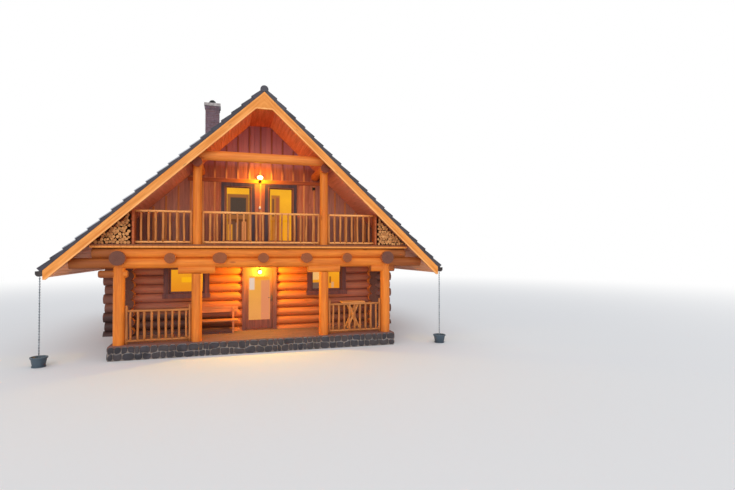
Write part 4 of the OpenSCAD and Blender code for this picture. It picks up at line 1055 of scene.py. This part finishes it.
# The cap's mortar slab and the bent sheet over the flue.
capLook = {
    "half": 0.292, "flue": 0.1225, "thick": 0.032, "deep": 0.092, "edge": 0.02, "rim": 0.6, "inFlue": 0.004,
    "hoodR": 0.1315, "hoodT": 0.009, "hoodW": 0.306, "rise": 0.03, "sides": 16,
}
slab = Pile()
outer, flue, slabLow = capLook["half"], capLook["flue"], stackTop - capLook["deep"]
slab.loops(stackRings(((outer - capLook["edge"], slabLow), (outer, slabLow),
    (outer, stackTop + capLook["thick"] * capLook["rim"]), (flue, stackTop + capLook["thick"]),
    (flue, stackTop - capLook["inFlue"]))), closed=True)
makePiece("chimney_cap_slab", slab, "capSlab", bevel=0.004)
hood = Pile()
profile = []
arcTurns = [math.pi * i / capLook["sides"] for i in range(capLook["sides"] + 1)]
for r, turn in ((capLook["hoodR"], 1), (capLook["hoodR"] - capLook["hoodT"], -1)):
    arc = [(r * math.cos(t), stackTop + capLook["rise"] + r * math.sin(t)) for t in arcTurns]
    profile += ([(r, stackTop)] + arc + [(-r, stackTop)])[::turn]
hood.loops([[(stackX + x, stackY + a * capLook["hoodW"] / 2, z) for x, z in profile] for a in (1, -1)])
makePiece("chimney_hood", hood, "iron")

# Firewood: short round and split logs, packed in each wedge under the roof.
woodStack = {
    "step": 0.090, "rise": 0.078, "size": (0.045, 0.054), "seed": 21, "front": -0.135, "back": 0.23,
    "startX": 3.605, "bottom": 0.046, "beside": 0.048, "headroom": 0.08, "uneven": (-0.025, 0.035),
    "edgeRoom": 0.03, "above": 0.045, "aside": 0.04, "shakeX": 0.006, "shakeZ": 0.005,
}


def logShape(rng):
    r, spin, kind = rng.uniform(*woodStack["size"]), rng.uniform(0, 2 * math.pi), rng.random()
    if kind < 0.5:  # round
        return [(r * rng.uniform(0.9, 1.0), spin + t) for t in circle(9)]
    if kind < 0.8:  # halved
        return [(r * 1.04, spin + math.pi * i / 5) for i in range(6)] + [(r * 0.35, spin + math.pi * 1.5)]
    quarter = [(r * 1.05, spin + math.pi * (i - 1.5) / 4) for i in range(4)]
    return [(r * 0.75, spin + math.pi)] + quarter


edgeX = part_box("firewood")[1].x
back = postY + woodStack["back"]
for side, label in ((-1, "left"), (1, "right")):
    rng = random.Random(woodStack["seed"] + side)
    stack = Pile()
    z, row = deckZ + woodStack["bottom"], 0
    while z < underRoof(woodStack["startX"]) - woodStack["headroom"]:
        x = woodStack["startX"] + woodStack["beside"] + (row % 2) * woodStack["step"] / 2
        while x < edgeX - woodStack["edgeRoom"]:
            if z + woodStack["above"] < underRoof(x + woodStack["aside"]):
                midX = x + rng.uniform(-woodStack["shakeX"], woodStack["shakeX"])
                midZ = z + rng.uniform(-woodStack["shakeZ"], woodStack["shakeZ"])
                shape = logShape(rng)
                shape = [(side * (midX + r * math.cos(t)), midZ + r * math.sin(t)) for r, t in shape]
                front = postY + woodStack["front"] + rng.uniform(*woodStack["uneven"])
                stack.loops([[(a, y, b) for a, b in shape] for y in (front, back)[::-side]])
            x += woodStack["step"]
        z += woodStack["rise"]
        row += 1
    makePiece("firewood_" + label, stack, "splitWood", ("firewood",), bevel=0.002)

# Rough-hewn ends on the floor joists, wider than the logs they close.
# sizes: (which joist, moved along x, half width, half height). profile: (distance from the end, size).
endLook = {
    "seed": 14, "sides": 13, "profile": ((0.07, 0.86), (0.01, 1.0), (-0.0096, 0.99), (-0.016, 0.93)),
    "sizes": ((-2, 0.0, 0.158, 0.150), (-1, 0.06, 0.200, 0.168), (0, 0.0, 0.168, 0.146),
        (1, 0.0, 0.185, 0.160), (2, 0.0, 0.156, 0.146)),
}
rng = random.Random(endLook["seed"])
ends = Pile()
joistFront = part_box("floor_joists")[0].y
sides = endLook["sides"]
for k, move, halfX, halfZ in endLook["sizes"]:
    outline = [(rng.uniform(0.93, 1.05), 2 * math.pi * (i + rng.uniform(-0.2, 0.2)) / sides)
        for i in range(sides)]
    rings = []
    for ahead, grow in endLook["profile"]:
        rings.append([(k * joistStep + move + halfX * r * grow * math.cos(t), joistFront + ahead,
            joistZ + halfZ * r * grow * math.sin(t)) for r, t in reversed(outline)])
    ends.loops(rings)
makePiece("joist_ends", ends, "joists", bevel=0.003)

# Short logs under the lower beam at the corner posts. The right one is flat below, like those on the
# inner posts. places: (side, inner end, outer end, radius, height, lowest height).
cornerLook = {
    "sides": 20, "taper": 0.05,
    "places": ((-1, 3.67, 4.41, 0.105, 2.365, 2.2), (1, 3.39, 4.20, 0.135, bolsterZ, 2.354)),
}
bolsters = Pile()
for side, inside, outside, radius, z, lowest in cornerLook["places"]:
    taper = cornerLook["taper"]
    rings = []
    for x, grow in ((inside, 0.78), (inside + taper, 1.0), (outside - taper, 1.0), (outside, 0.85)):
        r = radius * grow
        ring = [(side * x, postY + r * math.cos(t), max(z + r * math.sin(t), lowest))
            for t in circle(cornerLook["sides"])]
        rings.append(ring[::side])
    bolsters.loops(rings)
makePiece("corner_bolsters", bolsters, "bolsters", smooth=True)

# Railings of peeled branches.
railLook = {
    "seed": 31, "sides": 9, "rings": 7, "bend": 0.007, "postBend": 0.003, "railBend": 0.006, "knobs": 0.09,
    "postR": 0.034, "branchR": (0.028, 0.035), "lowR": 0.033, "highR": 0.034, "uneven": 0.008,
    "endHalf": (0.032, 0.15), "endRise": 0.025, "endIn": 0.036, "besidePost": 0.165, "besidePorchPost": 0.19,
}
railKinds = {
    "balcony": {"z": deckZ, "low": 0.06, "high": 0.945, "post": 0.975, "paints": ("branch", "rail")},
    "porch": {"z": floorZ, "low": 0.095, "high": 0.925, "post": 1.08, "paints": ("porchBranch", "porchRail")},
}


def branch(pile, start, end, radius, rng, bend):
    path, radii = [], []
    sway = [(rng.uniform(-bend, bend), rng.uniform(-bend, bend)) for _ in range(3)]  # two of them are used
    for k in range(railLook["rings"] + 1):
        t = k / railLook["rings"]
        a, b = (math.sin(math.pi * t) * sway[0][i] + math.sin(2 * math.pi * t) * sway[1][i] for i in (0, 1))
        aside = Vector((a, b, 0) if abs(end[2] - start[2]) > 0.3 else (0, b * 0.5, a * 0.5))
        path.append(Vector(start).lerp(Vector(end), t) + aside)
        radii.append(radius * (1 + rng.uniform(-railLook["knobs"], railLook["knobs"])))
    pile.tube(path, radii, railLook["sides"])


def railBay(kind, place, x0, x1, count, seed, endBoard=None, first=None):
    look, name = railKinds[kind], kind + "_railing_" + place
    base, low, high = look["z"], look["z"] + look["low"], look["z"] + look["high"]
    rng = random.Random(railLook["seed"] + seed)
    uprights, rails = Pile(), Pile()
    for x in (x0, x1):
        branch(uprights, (x, postY, base), (x, postY, base + look["post"]), railLook["postR"], rng,
            railLook["postBend"])
    first = first or (x1 - x0) / (count + 1)
    for k in range(count):
        x = x0 + first + (x1 - x0 - 2 * first) * k / (count - 1)
        x += rng.uniform(-railLook["uneven"], railLook["uneven"])
        radius = rng.uniform(*railLook["branchR"])
        branch(uprights, (x, postY, low), (x, postY, high), radius, rng, railLook["bend"])
    for z, radius in ((low, railLook["lowR"]), (high, railLook["highR"])):
        branch(rails, (x0, postY, z), (x1, postY, z), radius, rng, railLook["railBend"])
    makePiece(name + "_stakes", uprights, look["paints"][0], (name,), smooth=True)
    makePiece(name + "_rails", rails, look["paints"][1], smooth=True)
    if endBoard is not None:
        board, (halfX, halfY) = Pile(), railLook["endHalf"]
        board.box((endBoard - halfX, postY - halfY, base),
            (endBoard + halfX, postY + halfY, high + railLook["endRise"]))
        makePiece(name + "_end", board, "bandFace", bevel=0.004)


bayEnd = -(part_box("balcony_railing_left")[0].x + railLook["endIn"])
bayIn, middleIn = innerX + railLook["besidePost"], innerX - railLook["besidePost"]
porchIn, porchOut = innerX + railLook["besidePorchPost"], sideX - railLook["besidePorchPost"]
railBay("balcony", "left", -bayEnd, -bayIn, 7, 1, -bayEnd)
railBay("balcony", "right", bayIn, bayEnd, 7, 2, bayEnd)
railBay("balcony", "middle", -middleIn, middleIn, 17, 3)
railBay("porch", "left", -porchOut, -porchIn, 9, 4, first=0.1)
railBay("porch", "right", porchIn, porchOut, 9, 5, first=0.12)

# Lamps: iron rose and arm, glass globe, hanging over the entrance and standing up from the band board.
# rise: from the arm to the globe. ahead and drop: where its light stands. wider: how flat the globe is.
lampLook = {"globe": 0.064, "arm": 0.09, "sides": 20, "places": (
    {"label": "entrance", "y": frontY - 0.1903, "z": floorZ + 7.5 * course + 0.005, "rise": -0.21,
        "ahead": 0.32, "drop": 0.0, "wider": 1.0},
    {"label": "balcony", "y": bandY - 0.0003, "z": 5.3378, "rise": 0.125, "ahead": 0.13, "drop": -0.03,
        "wider": 1.5},
)}
iron, glass = Pile(), Pile()
for lamp in lampLook["places"]:
    y, z, label, wider = (lamp[key] for key in ("y", "z", "label", "wider"))
    way, ball = (1 if lamp["rise"] > 0 else -1), lampLook["globe"]
    armY, globeZ = y - lampLook["arm"], z + lamp["rise"]
    iron.tube([(0, y, z), (0, y - 0.012, z), (0, y - 0.020, z)], [0.05, 0.05, 0.03], 20)
    iron.tube([(0, y - 0.018, z), (0, y - 0.055, z - way * 0.008), (0, armY, z)], [0.010, 0.010, 0.010], 12)
    iron.tube([(0, armY, z - way * 0.006), (0, armY, globeZ - way * ball)], [0.010, 0.012], 12)
    iron.tube([(0, armY, globeZ - way * (ball + 0.018)), (0, armY, globeZ - way * (ball - 0.016))],
        [0.020, 0.038], 16)
    rings = []
    for t in (math.pi * k / 12 for k in range(11, 0, -1)):
        r, up = ball * wider * math.sin(t) ** (1 / wider), ball * math.cos(t)
        around = circle(lampLook["sides"])
        rings.append([(r * math.cos(a), armY + r * math.sin(a), globeZ + up) for a in around])
    glass.loops(rings)
    pointLight(label + "_lamp", (0, armY - lamp["ahead"], globeZ + lamp["drop"]),
        lightLook[label + "Power"], lightLook[label + "Tint"], lightLook["lampSoftness"])
makePiece("lamp_globes", glass, "globe", ("lamps",), smooth=True)
makePiece("lamp_ironwork", iron, "iron", smooth=True)

# A small white fitting between the balcony doors and a dark box by the right post, both on the gable.
# body: (height, radius). boxes: (near, far, less half width), both from the gable's face.
fittingLook = {
    "whiteZ": 4.46, "ahead": 0.045, "rose": (0.035, 0.030), "sides": 16, "body": ((-0.05, 0.018),
        (-0.045, 0.034), (-0.02, 0.040), (0.015, 0.034), (0.05, 0.014), (0.058, 0.006)),
    "boxAt": (1.82, 5.17), "boxHalf": 0.05, "boxes": ((-0.022, 0.004, 0.0), (-0.075, -0.021, 0.008)),
}
whiteZ, sides = fittingLook["whiteZ"], fittingLook["sides"]
fitting = Pile()
fitting.tube([(0, gableFront, whiteZ), (0, gableFront - 0.02, whiteZ)], fittingLook["rose"], sides)
fitting.tube([(0, gableFront - fittingLook["ahead"], whiteZ + z) for z, _ in fittingLook["body"]],
    [r for _, r in fittingLook["body"]], sides)
makePiece("white_fitting", fitting, "whiteGlass", smooth=True)
fitting = Pile()
boxX, boxZ = fittingLook["boxAt"]
for near, far, less in fittingLook["boxes"]:
    half = fittingLook["boxHalf"] - less
    fitting.box((boxX - half, gableFront + near, boxZ - half), (boxX + half, gableFront + far, boxZ + half))
makePiece("wall_box", fitting, "iron", bevel=0.006)

# Gutter brackets.
bracketLook = {
    "first": 0.35, "spacing": 0.9, "width": 0.025, "inner": 0.0855, "outer": 0.0895, "gutterR": 0.085,
    "steps": 12,
}
brackets = Pile()
gutterLow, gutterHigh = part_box("gutters")
gutterX, gutterZ = gutterHigh.x - bracketLook["gutterR"], gutterLow.z + bracketLook["gutterR"]
turns = [math.radians(180 + 180 * i / bracketLook["steps"]) for i in range(bracketLook["steps"] + 1)]
y = roofY0 + bracketLook["first"]
while y < roofY1:
    for side in (-1, 1):
        inner, outer, y1 = bracketLook["inner"], bracketLook["outer"], y + bracketLook["width"]
        rings = []
        for t in turns:
            ring = [(side * (gutterX + r * math.cos(t)), at, gutterZ + r * math.sin(t))
                for r, at in ((inner, y), (outer, y), (outer, y1), (inner, y1))]
            rings.append(ring[::side])
        brackets.loops(rings)
    y += bracketLook["spacing"]
makePiece("gutter_brackets", brackets, "iron")

# Warm light inside the rooms.
for place in lightLook["roomPlaces"]:
    pointLight("room_light", place, lightLook["roomPower"], lightLook["roomTint"], lightLook["roomSoftness"])
